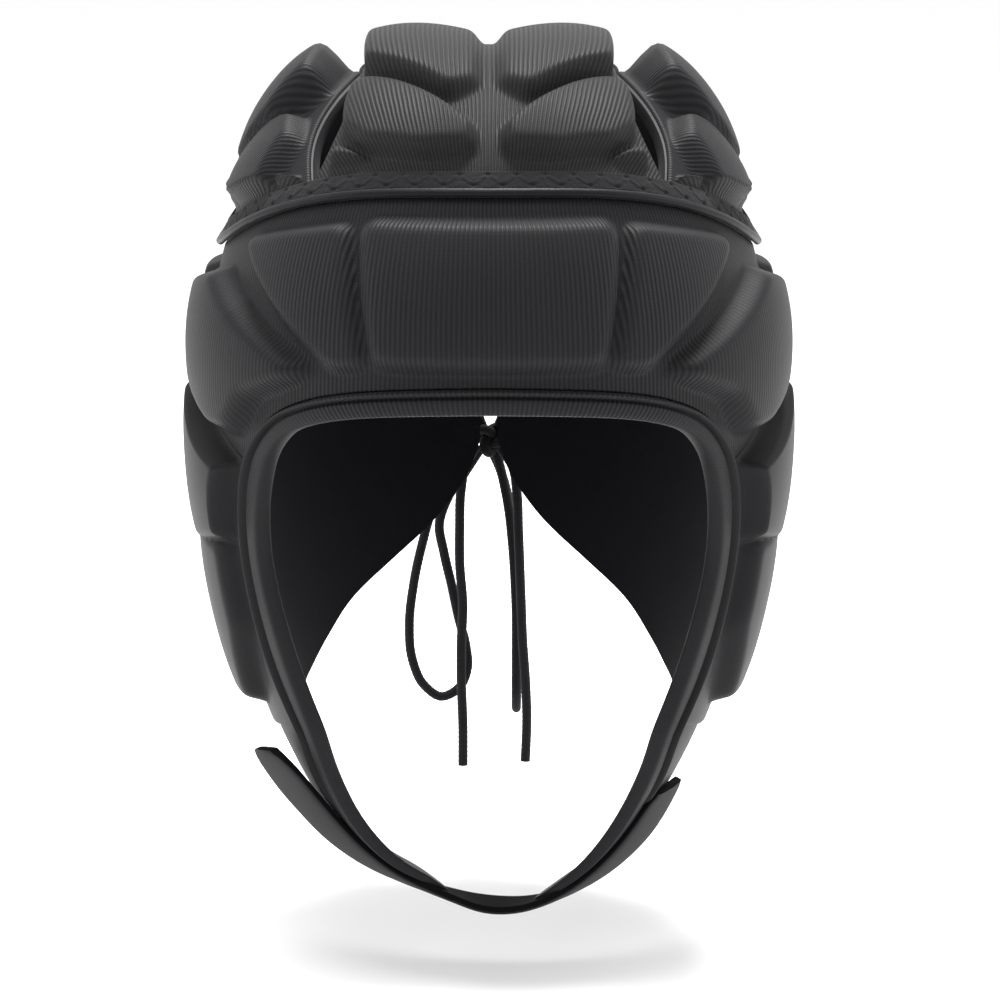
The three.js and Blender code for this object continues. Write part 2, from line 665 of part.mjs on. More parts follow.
// Ear and cheek panel with the tail below it
function sidePanel(side) {
  const cheek = (t) => rimAt(mix(1, TEMPLE_SHARE, t), PANEL_EDGE);
  const top = (s) => templeCurve(s).map((value, i) => value - [0, SEAM_GAP][i]);
  const feet = EAR_FOOT.map(({ azimuth, rise }) => [azimuth, rise - EAR_END]);
  const foot = through([cheek(0), ...feet, [REAR_SEAM, -EAR_END]]);
  const seam = REAR_SEAM - degrees(SEAM_GAP / HALF_WIDTH);
  const bottom = (s) => [Math.min(foot(s)[0], seam), foot(s)[1]];
  const rear = (t) => [seam, mix(foot(1)[1], top(1)[1], t)];
  const trimmedTop = (s) => [Math.min(top(s)[0], seam), top(s)[1]];
  const patch = coons(bottom, trimmedTop, cheek, rear);
  const sided = (s, t) => (side > 0 ? patch(s, t) : mirrored(patch(s, t)));
  const [columns, rows] = [cells(FRONT_REACH), cells(EAR_END - BROW_RIM)];
  return paddedPanel(BAND, sided, columns, rows, SIDE_PADS, side).add(tail(side));
}

// Foot of a rear panel: shares of the way to the gap, and of the drop from the nape to the ear's end
const NAPE_FOOT = [
  { along: 0, drop: 1 },
  { along: 0.17, drop: 0.95 },
  { along: 0.34, drop: 0.86 },
  { along: 0.5, drop: 0.73 },
  { along: 0.68, drop: 0.58 },
  { along: 0.84, drop: 0.4 },
  { along: 0.95, drop: 0.19 },
  { along: 1, drop: 0 },
];
const REAR_COLUMNS = 7;
const REAR_ROWS = 6;

// Rear panel, from the side panel to the gap at the centre back
function rearPanel(side) {
  const from = REAR_SEAM + degrees(SEAM_GAP / HALF_WIDTH);
  const to = 180 - degrees(REAR_GAP / 2 / BACK_REACH);
  const bottom = through(
    NAPE_FOOT.map(({ along, drop }) => [mix(from, to, along), -mix(NAPE_END, EAR_END, drop)]),
  );
  const top = (s) => {
    const azimuth = mix(from, to, s);
    return [azimuth, seamLevel(azimuth) - SEAM_GAP];
  };
  const left = (t) => between(bottom(0), top(0), t);
  const right = (t) => between(bottom(1), top(1), t);
  const patch = coons(bottom, top, left, right);
  const sided = (s, t) => (side > 0 ? patch(s, t) : mirrored(patch(s, t)));
  const panel = paddedPanel(BAND, sided, REAR_COLUMNS, REAR_ROWS, REAR_PADS, side);
  return EYELET_LEVELS.reduce((rest, level) => rest.subtract(eyeletHole(side, level)), panel);
}

// Frame of an eyelet: its centre on the form and its axis pointing out
function eyeletFrame(side, level) {
  const azimuth = side * (180 - degrees(EYELET_INSET / BACK_REACH));
  const centre = onBand(azimuth, -level);
  const axis = outward(BAND, azimuth, -level);
  return { centre, axis };
}

// Turned solid about an eyelet's axis, from a profile of radius and height that closes on itself
function turned(side, level, profile, segments) {
  const { centre, axis } = eyeletFrame(side, level);
  const turn = new THREE.Quaternion().setFromUnitVectors(new THREE.Vector3(0, 0, 1), axis);
  const rings = profile.map(([radius, height]) => {
    return Array.from({ length: segments }, (_, i) => {
      const angle = (2 * Math.PI * i) / segments;
      const point = new THREE.Vector3(radius * Math.cos(angle), radius * Math.sin(angle), height);
      return point.applyQuaternion(turn).add(centre);
    });
  });
  return rings;
}

const EYELET_SIDES = 8;

function eyeletHole(side, level) {
  const radius = EYELET_BARREL + SEAM_GAP;
  return ringSolid(turned(side, level, [[radius, -WALL], [radius, 3 * WALL]], EYELET_SIDES));
}

// Eyelet: a barrel through the wall with a flange on each face
function eyelet(side, level) {
  const profile = [
    [EYELET_HOLE, -EYELET_SEAT - EYELET_THICK],
    [EYELET_FLANGE, -EYELET_SEAT - EYELET_THICK],
    [EYELET_FLANGE, -EYELET_SEAT],
    [EYELET_BARREL, -EYELET_SEAT],
    [EYELET_BARREL, WALL + EYELET_SEAT],
    [EYELET_FLANGE, WALL + EYELET_SEAT],
    [EYELET_FLANGE, WALL + EYELET_SEAT + EYELET_THICK],
    [EYELET_HOLE, WALL + EYELET_SEAT + EYELET_THICK],
  ];
  return loopSolid(turned(side, level, profile, EYELET_SIDES));
}

// Solid whose rings close on each other, such as a closed band
function loopSolid(rings) {
  const size = rings[0].length;
  const faces = [];
  rings.forEach((ring, row) => {
    const next = (row + 1) % rings.length;
    for (let i = 0; i < size; i++) {
      const j = (i + 1) % size;
      const [a, b] = [row * size + i, row * size + j];
      const [c, d] = [next * size + i, next * size + j];
      faces.push([a, b, d], [a, d, c]);
    }
  });
  return solid(rings.flat(), faces);
}

// Closed band round the crown seam, lofted through sections of height above the seam and lift
const SEAM_STATIONS = 32;
function seamBand(section) {
  return loopSolid(
    Array.from({ length: SEAM_STATIONS }, (_, k) => {
      const azimuth = (360 * k) / SEAM_STATIONS - 180;
      const slope = slopes(BAND, azimuth, seamLevel(azimuth)).along.length();
      return section.map(([up, lift]) => lifted(BAND, [azimuth, seamLevel(azimuth) + up / slope], lift));
    }),
  );
}

const PIPING_SIDES = 5;

function crownPiping() {
  const centre = WALL + SEAM_GAP + PIPING_RADIUS;
  const section = Array.from({ length: PIPING_SIDES }, (_, i) => {
    const angle = (2 * Math.PI * (i + 0.5)) / PIPING_SIDES;
    return [PIPING_RADIUS * Math.cos(angle), centre + PIPING_RADIUS * Math.sin(angle)];
  });
  return seamBand(section);
}

function seamTape() {
  const start = PIPING_RADIUS + SEAM_GAP;
  const base = WALL + SEAM_GAP;
  return seamBand([
    [start, base],
    [start + TAPE_WIDTH, base],
    [start + TAPE_WIDTH - TAPE_THICK / 2, base + TAPE_THICK],
    [start, base + TAPE_THICK],
  ]);
}

// Room round the tape and piping that the crown and brow pads stay out of
function seamRoom() {
  const start = -PIPING_RADIUS - SEAM_GAP;
  const end = PIPING_RADIUS + TAPE_WIDTH + 2 * SEAM_GAP;
  return seamBand([
    [start, WALL + SEAM_GAP / 2],
    [end, WALL + SEAM_GAP / 2],
    [end + TAPE_THICK, WALL * PAD_ROOM],
    [start - TAPE_THICK, WALL * PAD_ROOM],
  ]);
}

// Binding section: share from the opening's edge to the bead, and share of its thickness
const BINDING_SECTION = [
  [0.02, 0],
  [0, 0.7],
  [0.12, 1],
  [0.68, 1],
  [0.78, 1.35],
  [0.96, 1.3],
  [1, 0],
];
const BEAD_FLAT = 1;

const ROOM_SECTION = [
  [-1, ROOM_DEPTH],
  [-1, ROOM_HEIGHT],
  [1 + SEAM_GAP / BINDING_WIDTH, ROOM_HEIGHT],
  [1 + SEAM_GAP / BINDING_WIDTH, ROOM_DEPTH],
];
const RIM_STATIONS = 30;

// Solid along the rim over the brow and cheeks, lofted through one section
function rimBand(section) {
  return ringSolid(
    Array.from({ length: RIM_STATIONS + 1 }, (_, k) => {
      return section.map(([across, lift]) => lifted(BAND, rimAt(k / RIM_STATIONS, across), lift * WALL));
    }),
  );
}

// Binding round the face: over the brow and cheeks, then down both tails to their tips
function faceBinding() {
  const onTail = (value) => {
    return BINDING_SECTION.map(([across, lift]) => {
      const height = Math.min(lift, BEAD_FLAT) * value("thick");
      return [mix(value("edge"), value("bead"), across), height];
    });
  };
  return rimBand(BINDING_SECTION).add(tailBand(-1, onTail)).add(tailBand(1, onTail));
}

const STRAP_STATIONS = 24;

// Chin strap, lying on the outside of both tails, with one end free
function chinStrap() {
  const columns = ["angle", "lift", "splay", "front", "rear"];
  const curves = columns.map((column) => through(STRAP.map((row, i) => [i, row[column]])));
  const rings = Array.from({ length: STRAP_STATIONS + 1 }, (_, k) => {
    const [angle, lift, splay, front, rear] = curves.map((curve) => curve(k / STRAP_STATIONS)[1]);
    const side = angle < 0 ? -1 : 1;
    const rows = tailRows(side);
    const tip = rows.at(-1).angle;
    const size = Math.min(Math.abs(angle) / tip, 1);
    const carried = tailValue(rows, "thick", Math.abs(angle)) + tailValue(rows, "tuck", Math.abs(angle));
    const base = (carried + 2 * SEAM_GAP) * THREE.MathUtils.smoothstep(size, 0, 1) + lift;
    const [ahead, behind] = [-front * FRONT_REACH, -rear * FRONT_REACH];
    const centre = (ahead + behind) / 2;
    const section = [
      [ahead, base],
      [centre, base + splay / 2],
      [behind, base + splay],
      [behind, base + splay + STRAP_THICK],
      [centre, base + splay / 2 + STRAP_THICK],
      [ahead, base + STRAP_THICK],
    ];
    return section.map(([y, height]) => lifted(CHIN, [angle, y], height));
  });
  return ringSolid(rings);
}

// Round cord along a path, as a closed tube
function cordTube(points, radius, sides, steps) {
  const curve = new THREE.CatmullRomCurve3(points, false, "centripetal");
  const outline = new THREE.Shape(
    Array.from({ length: sides }, (_, i) => {
      const angle = (2 * Math.PI * i) / sides;
      return new THREE.Vector2(radius * Math.cos(angle), radius * Math.sin(angle));
    }),
  );
  return new THREE.ExtrudeGeometry(outline, { extrudePath: curve, steps, curveSegments: 1 });
}

const routePoints = (route) => route.map((point) => new THREE.Vector3(...point));
const CORD_STEP = 9;
const CORD_SIDES = 8;
const LACE_SIDES = 6;
const LACE_STEPS = 48;

function freeCord(name) {
  const points = routePoints(CORD_ROUTES[name]);
  const length = new THREE.CatmullRomCurve3(points, false, "centripetal").getLength();
  return cordTube(points, CORD_RADIUS, CORD_SIDES, Math.round(length / CORD_STEP));
}

// Route of the laced stretch: from the knot through the eyelets and back, crossing once outside
function backLacePoints() {
  const clear = EYELET_SEAT + EYELET_THICK + CORD_RADIUS + SEAM_GAP;
  const [over, under] = [WALL + clear, -clear];
  const [high, mid, low] = EYELET_LEVELS;
  const threaded = (side, level, lifts) => {
    const { centre, axis } = eyeletFrame(side, level);
    return lifts.map((lift) => centre.clone().addScaledVector(axis, lift));
  };
  const inward = [over - 1, WALL / 2, under + 1];
  const outwardLifts = [...inward].reverse();
  const crossing = (lift) => lifted(BAND, [180, -(high + mid) / 2], lift);
  const beside = (side, level, shift, lift) => {
    const azimuth = side * (180 - degrees(EYELET_INSET / BACK_REACH));
    return lifted(BAND, [azimuth, -level + shift], lift);
  };
  const leave = (level) => beside(1, level, 0, over).setX(0);
  const knotTop = (x) => new THREE.Vector3(KNOT.x + x, KNOT.y - 0.5, KNOT.z + KNOT_HALF.z * 0.6);
  return [
    knotTop(2.5),
    new THREE.Vector3(5, leave(low).y + 2.5, -(low + 6.5)),
    ...threaded(1, low, inward),
    beside(1, (low + mid) / 2, 0, under),
    ...threaded(1, mid, outwardLifts),
    crossing(over),
    ...threaded(-1, high, inward),
    lifted(BAND, [180, -high], under),
    ...threaded(1, high, outwardLifts),
    crossing(over + 2.6 * CORD_RADIUS),
    ...threaded(-1, mid, inward),
    beside(-1, (low + mid) / 2, 0, under),
    ...threaded(-1, low, outwardLifts),
    new THREE.Vector3(-4, leave(low).y + 2.5, -(low + 6.5)),
    knotTop(-2.5),
  ];
}

function backLace() {
  const points = backLacePoints();
  return cordTube(points, CORD_RADIUS, LACE_SIDES, LACE_STEPS);
}

const KNOT_STEPS = 5;

// Knot of the bow, with a socket where each cord enters
function laceKnot() {
  const lump = new THREE.SphereGeometry(1, CORD_SIDES, LACE_SIDES);
  lump.scale(KNOT_HALF.x, KNOT_HALF.y, KNOT_HALF.z).translate(KNOT.x, KNOT.y, KNOT.z);
  const ends = Object.values(CORD_ROUTES).flatMap((route) => {
    const points = routePoints(route);
    const first = points.slice(0, 3);
    const last = points.slice(-3).reverse();
    return last[0].distanceTo(KNOT) < 2 * KNOT_HALF.x ? [first, last] : [first];
  });
  const laced = backLacePoints();
  ends.push(laced.slice(0, 3), laced.slice(-3).reverse());
  return ends.reduce((knot, points) => {
    const start = points[0].clone().add(points[0].clone().sub(points[1]).setLength(SEAM_GAP));
    const room = cordTube([start, ...points], CORD_RADIUS + SEAM_GAP, CORD_SIDES, KNOT_STEPS);
    return knot.subtract(fromGeometry(room));
  }, fromGeometry(lump));
}

// Manifold of a three.js geometry, with its shared points merged
function fromGeometry(geometry) {
  const flat = geometry.index ? geometry.toNonIndexed() : geometry;
  const position = flat.getAttribute("position");
  const keys = new Map();
  const vertices = [];
  const corners = [];
  for (let i = 0; i < position.count; i++) {
    const point = new THREE.Vector3().fromBufferAttribute(position, i);
    const key = point.toArray().map((value) => Math.round(value * 1e3)).join();
    if (!keys.has(key)) {
      keys.set(key, vertices.length);
      vertices.push(point);
    }
    corners.push(keys.get(key));
  }
  const faces = [];
  for (let i = 0; i < corners.length; i += 3) {
    const [a, b, c] = corners.slice(i, i + 3);
    if (a !== b && b !== c && a !== c) faces.push([a, b, c]);
  }
  return solid(vertices, faces);
}

// three.js geometry of a manifold
function toGeometry(body) {
  const mesh = body.getMesh();
  const geometry = new THREE.BufferGeometry();
  const values = new Float32Array(mesh.numVert * 3);
  for (let i = 0; i < mesh.numVert; i++) {
    values.set(mesh.vertProperties.subarray(i * mesh.numProp, i * mesh.numProp + 3), i * 3);
  }
  geometry.setAttribute("position", new THREE.BufferAttribute(values, 3));
  geometry.setIndex(new THREE.BufferAttribute(mesh.triVerts, 1));
  geometry.computeVertexNormals();
  return geometry;
}

const helmet = new THREE.Group();

function add(name, body, material) {
  const geometry = body.isBufferGeometry ? body : toGeometry(body);
  const mesh = new THREE.Mesh(geometry, material);
  mesh.name = name;
  helmet.add(mesh);
}

const SIDES = [
  { name: "left", side: 1 },
  { name: "right", side: -1 },
];
const clear = seamRoom();
const rimClear = rimRoom();
add("crown_centre", crownCentre().subtract(clear), KNIT);
add("brow_panel", browPanel().subtract(clear).subtract(rimClear), KNIT);
for (const { name, side } of SIDES) {
  add(`crown_side_${name}`, crownSide(side).subtract(clear), KNIT);
  add(`side_panel_${name}`, sidePanel(side).subtract(clear).subtract(rimClear), KNIT);
  add(`rear_panel_${name}`, rearPanel(side).subtract(clear), KNIT);
  EYELET_LEVELS.forEach((level, i) => add(`lace_eyelet_${name}_${i + 1}`, eyelet(side, level), METAL));
}
add("crown_seam_tape", seamTape(), TRIM);
add("crown_piping", crownPiping(), TRIM);
add("face_binding", faceBinding(), TRIM);
add("chin_strap", chinStrap(), STRAP_CLOTH);
add("back_lace", backLace(), CORD);
add("lace_knot", laceKnot(), CORD);
for (const name of Object.keys(CORD_ROUTES)) add(name, freeCord(name), CORD);

export default helmet;
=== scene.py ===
"""Soft shell football helmet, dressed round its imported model.

Every panel is a surface on one head form. Lengths are millimetres until a mesh is made, and the cords'
route points are metres. +Z is up, -Y is the face side and +X is the wearer's left.
"""
import logging
import math
from collections.abc import Callable, Sequence
from dataclasses import dataclass, field
from enum import Enum

import bmesh
import bpy
import numpy as np
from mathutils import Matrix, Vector


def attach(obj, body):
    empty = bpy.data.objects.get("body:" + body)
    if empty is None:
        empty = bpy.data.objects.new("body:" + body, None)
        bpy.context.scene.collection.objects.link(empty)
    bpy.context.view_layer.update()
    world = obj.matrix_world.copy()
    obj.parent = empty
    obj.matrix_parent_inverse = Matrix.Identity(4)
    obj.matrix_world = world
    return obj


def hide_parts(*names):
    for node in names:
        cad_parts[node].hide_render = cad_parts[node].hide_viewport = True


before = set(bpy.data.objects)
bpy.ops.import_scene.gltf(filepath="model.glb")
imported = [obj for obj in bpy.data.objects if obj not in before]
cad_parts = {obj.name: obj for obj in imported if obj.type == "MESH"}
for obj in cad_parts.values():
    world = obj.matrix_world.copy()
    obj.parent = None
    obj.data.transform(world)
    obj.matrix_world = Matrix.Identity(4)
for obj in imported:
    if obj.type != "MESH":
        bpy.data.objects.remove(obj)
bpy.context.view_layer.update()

Array = np.ndarray
Colour = tuple[float, float, float]
Point = tuple[float, float, float]
Spot = tuple[float, float]
LOG = logging.getLogger("helmet")
MM = 0.001
BODY = "root"
TINY = 1e-6
SEAM_GAP = 0.3
WALL = 5.0
ARC_STEPS = 720
CORD_STEP = 0.45


class Side(Enum):
    """Side of the head, as the sign of X."""

    LEFT = 1
    RIGHT = -1

    @property
    def word(self) -> str:
        """Lower-case name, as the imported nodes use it."""
        return self.name.lower()


def smoothstep(low: float, high: float, value: Array) -> Array:
    """Smooth ramp from 0 at low to 1 at high: 3x squared minus 2x cubed of the clipped share."""
    share = np.clip((value - low) / (high - low), 0.0, 1.0)
    return share * share * (3 - 2 * share)


def unit(vectors: Array) -> Array:
    """Vectors scaled to length one."""
    return vectors / np.linalg.norm(vectors, axis=-1, keepdims=True)


def turns(count: int) -> Array:
    """Angles evenly round a full turn, in radians."""
    return np.linspace(0, 2 * np.pi, count, endpoint=False)


def squared(wave: Array, power: float) -> Array:
    """Wave of a superellipse: the sign of a sine or cosine times a power of its size."""
    return np.sign(wave) * np.abs(wave) ** power


def run_length(points: Array) -> Array:
    """Running length along rows of points, from 0 at the first."""
    return np.concatenate([[0], np.cumsum(np.linalg.norm(np.diff(points, axis=0), axis=1))])


def spline(points: Sequence[Sequence[float]], shares: Array) -> Array:
    """Uniform Catmull-Rom curve: each span is the cubic that leaves its ends along half the chord
    between their neighbours.

    Args:
        points: Points that the curve goes through, in any number of columns.
        shares: Places along the curve, from 0 to 1.

    Returns:
        One row of columns for each share.
    """
    rows = np.asarray(points, float)
    padded = np.vstack([2 * rows[0] - rows[1], rows, 2 * rows[-1] - rows[-2]])
    place = np.clip(np.asarray(shares, float), 0, 1) * (len(rows) - 1)
    index = np.minimum(place.astype(int), len(rows) - 2)
    step = (place - index)[..., None]
    before, start, end, after = (padded[index + k] for k in range(4))
    return 0.5 * (
        2 * start
        + (end - before) * step
        + (2 * before - 5 * start + 4 * end - after) * step**2
        + (3 * start - 3 * end + after - before) * step**3
    )


def even_path(points: Array, spacing: float) -> Array:
    """Smooth path through points, resampled so that neighbours are spacing apart: the cubic through
    each pair of points leaves them along the slope of the parabola through their neighbours, with
    the chord lengths as the parameter.

    Args:
        points: Rows whose first three columns are a place; other columns follow them.
        spacing: Distance between the new rows.

    Returns:
        The new rows.
    """
    rows = np.asarray(points, float)
    knots = run_length(rows[:, :3])
    slopes = np.gradient(rows, knots, axis=0, edge_order=1)
    count = max(int(round(knots[-1] / spacing)), 4)
    place = np.linspace(0, knots[-1], count + 1)
    index = np.clip(np.searchsorted(knots, place, side="right") - 1, 0, len(rows) - 2)
    width = (knots[index + 1] - knots[index])[:, None]
    t = (place - knots[index])[:, None] / width
    return (
        (1 + 2 * t) * (1 - t) ** 2 * rows[index]
        + t * (1 - t) ** 2 * width * slopes[index]
        + t**2 * (3 - 2 * t) * rows[index + 1]
        + t**2 * (t - 1) * width * slopes[index + 1]
    )


@dataclass(frozen=True)
class Chart:
    """Two numbers that name each place on the head form: the function that gives the place, the sign
    that turns its normal outward, and the step of its slopes."""

    place: Callable[[Array, Array], Array]
    turn: int
    step: float = 0.05

    def slopes(self, u: Array, v: Array) -> tuple[Array, Array]:
        """Millimetres of surface for one unit of each number, by central differences."""
        across = (self.place(u + self.step, v) - self.place(u - self.step, v)) / (2 * self.step)
        along = (self.place(u, v + self.step) - self.place(u, v - self.step)) / (2 * self.step)
        return across, along

    def outward(self, u: Array, v: Array) -> Array:
        """Unit normals pointing off the head: the cross product of the two slopes."""
        across, along = self.slopes(u, v)
        return self.turn * unit(np.cross(across, along))

    def lifted(self, u: Array, v: Array, lift: Array | float) -> Array:
        """Places moved off the head by lift."""
        return self.place(u, v) + self.outward(u, v) * np.asarray(lift)[..., None]


@dataclass(frozen=True)
class HeadForm:
    """Rounded head shape that every panel wraps, with its origin at the top: its sizes, the powers of
    its sections, how far it tapers to the chin, and the seam between crown and band."""

    half_width: float = 80.0
    front: float = 97.0
    back: float = 100.0
    crown_height: float = 95.5
    chin_drop: float = 157.0
    plan_round: float = 2.25
    crown_round: float = 2.35
    drop_round: float = 2.2
    front_taper: float = 0.171
    back_taper: float = 0.377
    chin_rise: float = 14.0
    chin_power: int = 6
    seam_front: float = 34.3
    seam_dip: float = 21.0
    seam_power: float = 3.3

    @property
    def widest(self) -> float:
        """Level of the widest section."""
        return -self.crown_height

    def sizes(self, share: Array) -> tuple[Array, Array, Array]:
        """Half width and the two depths at a share of the drop from the widest level to the chin."""
        side = self.half_width * np.sqrt(np.maximum(1 - share**self.drop_round, TINY))
        front = self.front * (1 - self.front_taper * share**2)
        back = self.back * (1 - self.back_taper * share**2)
        return side, front, back

    def band_place(self, azimuth: Array, z: Array) -> Array:
        """Place on the band: a ray from the axis meets the superellipse of that level, whose size
        follows another superellipse above the widest level.

        Args:
            azimuth: Degrees from the front, with plus to the wearer's left.
            z: Height, broadcast with the azimuth.

        Returns:
            Places with x, y and z last.
        """
        azimuth, z = np.broadcast_arrays(np.asarray(azimuth, float), np.asarray(z, float))
        across, ahead = np.sin(np.radians(azimuth)), np.cos(np.radians(azimuth))
        side, front, back = self.sizes(np.maximum((self.widest - z) / self.chin_drop, 0))
        depth = np.where(ahead > 0, front, back)
        up = np.maximum(z - self.widest, 0) / self.crown_height
        level = np.maximum(1 - up**self.crown_round, 0) ** (1 / self.crown_round)
        plan = np.abs(across / side) ** self.plan_round + np.abs(ahead / depth) ** self.plan_round
        reach = level / plan ** (1 / self.plan_round)
        return np.stack([reach * across, -reach * ahead, z], axis=-1)

    def crown_place(self, roll: Array, pitch: Array) -> Array:
        """Place on the crown, met by a ray from the middle of the widest level.

        Args:
            roll: Degrees by which the ray is tipped from the top to the wearer's left.
            pitch: Degrees by which it is tipped to the front, broadcast with the roll.

        Returns:
            Places with x, y and z last.
        """
        roll, pitch = np.broadcast_arrays(np.asarray(roll, float), np.asarray(pitch, float))
        x, y = np.tan(np.radians(roll)), -np.tan(np.radians(pitch))
        depth = np.where(y < 0, self.front, self.back)
        plan = np.abs(x / self.half_width) ** self.plan_round + np.abs(y / depth) ** self.plan_round
        power = self.crown_round
        total = plan ** (power / self.plan_round) + (1 / self.crown_height) ** power
        reach = total ** (-1 / power)
        return np.stack([reach * x, reach * y, reach + self.widest], axis=-1)

    def chin_place(self, angle: Array, y: Array) -> Array:
        """Place below the cheeks, on the section whose level is the cosine of the angle.

        Args:
            angle: Degrees up from the chin, with plus on the wearer's left.
            y: Depth, broadcast with the angle.

        Returns:
            Places with x, y and z last.
        """
        angle, y = np.broadcast_arrays(np.asarray(angle, float), np.asarray(y, float))
        share = np.cos(np.radians(angle))
        side, front, back = self.sizes(share)
        depth = np.where(y < 0, front, back)
        width = side * (1 - np.abs(y / depth) ** self.plan_round) ** (1 / self.plan_round)
        rise = self.chin_rise * share**self.chin_power * (y / self.front) ** 2
        z = self.widest - self.chin_drop * share + rise
        return np.stack([np.sign(angle) * width, y, z], axis=-1)

    def crown_position(self, points: Array) -> Array:
        """Roll and pitch of places on the form."""
        up = points[..., 2] - self.widest
        roll, pitch = np.arctan2(points[..., 0], up), np.arctan2(-points[..., 1], up)
        return np.degrees(np.stack([roll, pitch], axis=-1))

    def chin_position(self, points: Array) -> Array:
        """Angle from the chin and depth of places on the form."""
        share = np.minimum((self.widest - points[..., 2]) / self.chin_drop, 1)
        angle = np.sign(points[..., 0]) * np.degrees(np.arccos(share))
        return np.stack([angle, points[..., 1]], axis=-1)

    def seam_level(self, azimuth: Array) -> Array:
        """Height of the seam between crown and band: it dips towards the ears as a power of the sine."""
        return -(self.seam_front + self.seam_dip * np.abs(np.sin(np.radians(azimuth))) ** self.seam_power)


HEAD = HeadForm()
BAND = Chart(HEAD.band_place, 1)
CROWN = Chart(HEAD.crown_place, -1)
CHIN = Chart(HEAD.chin_place, -1)


def arc_table(chart: Chart, reach: float, level: float, upright: bool = False) -> tuple[Array, Array]:
    """Arc length along a line of a chart, as the numbers along it and the lengths to them from 0.

    Args:
        chart: Chart that the line lies in.
        reach: Number at which the line ends, on both sides of 0.
        level: The other number, the same all along.
        upright: Whether the line follows the second number.

    Returns:
        The numbers and the lengths.
    """
    numbers = np.linspace(-reach, reach, ARC_STEPS + 1)
    still = np.full_like(numbers, level)
    lengths = run_length(chart.place(*((still, numbers) if upright else (numbers, still))))
    return numbers, lengths - np.interp(0.0, numbers, lengths)


BAND_ARC = arc_table(BAND, 180, -70.0)
ROLL_ARC = arc_table(CROWN, 75, 0.0)
PITCH_ARC = arc_table(CROWN, 75, 0.0, upright=True)


def coons(bottom: Array, top: Array, left: Array, right: Array, s: Array, t: Array) -> Array:
    """Patch whose four sides are the given rows: the ruled surface each way, less the flat one.

    Args:
        bottom: Chart positions along s at t = 0.
        top: Chart positions along s at t = 1.
        left: Chart positions along t at s = 0.
        right: Chart positions along t at s = 1.
        s: Shares of the columns.
        t: Shares of the rows.

    Returns:
        Chart positions by row and column.
    """
    s, t = s[None, :, None], t[:, None, None]
    up = (1 - t) * bottom[None] + t * top[None]
    across = (1 - s) * left[:, None] + s * right[:, None]
    flat = (1 - t) * ((1 - s) * bottom[0] + s * bottom[-1]) + t * ((1 - s) * top[0] + s * top[-1])
    return up + across - flat


def graded(length: float, cell: float) -> Array:
    """Shares from 0 to 1 along a length, with even steps of about cell and finer ones near both ends,
    where the borders are rolled over."""
    near = np.array([0, 0.2, 0.5, 0.9, 1.4, 2.0])
    middle = np.linspace(near[-1], length - near[-1], max(int((length - 2 * near[-1]) / cell), 2) + 1)
    return np.concatenate([near[:-1], middle, (length - near[:-1])[::-1]]) / length


def polygon_distance(corners: Sequence[Spot], x: Array, y: Array) -> Array:
    """Distance to a polygon, minus inside it: the least distance to its sides, with the sign from an
    even-odd count of the sides to the right of each point.

    Args:
        corners: Corners of the polygon.
        x: First coordinates of the points.
        y: Second coordinates of the points.

    Returns:
        Distances, shaped like x.
    """
    best = np.full(x.shape, np.inf)
    inside = np.zeros(x.shape, bool)
    for (ax, ay), (bx, by) in zip(corners, [*corners[1:], corners[0]]):
        ex, ey = bx - ax, by - ay
        share = np.clip(((x - ax) * ex + (y - ay) * ey) / (ex * ex + ey * ey), 0, 1)
        best = np.minimum(best, np.hypot(x - ax - ex * share, y - ay - ey * share))
        rise = ey if ey else TINY
        inside ^= ((ay > y) != (by > y)) & (x < ex * (y - ay) / rise + ax)
    return np.where(inside, -best, best)


def blur_matrix(count: int, reach: float) -> Array:
    """Matrix that blurs a row of count cells with a Gaussian of that reach in cells."""
    offsets = np.arange(count)[:, None] - np.arange(count)[None]
    weights = np.exp(-(offsets**2) / (2 * reach**2))
    return weights / weights.sum(axis=1, keepdims=True)


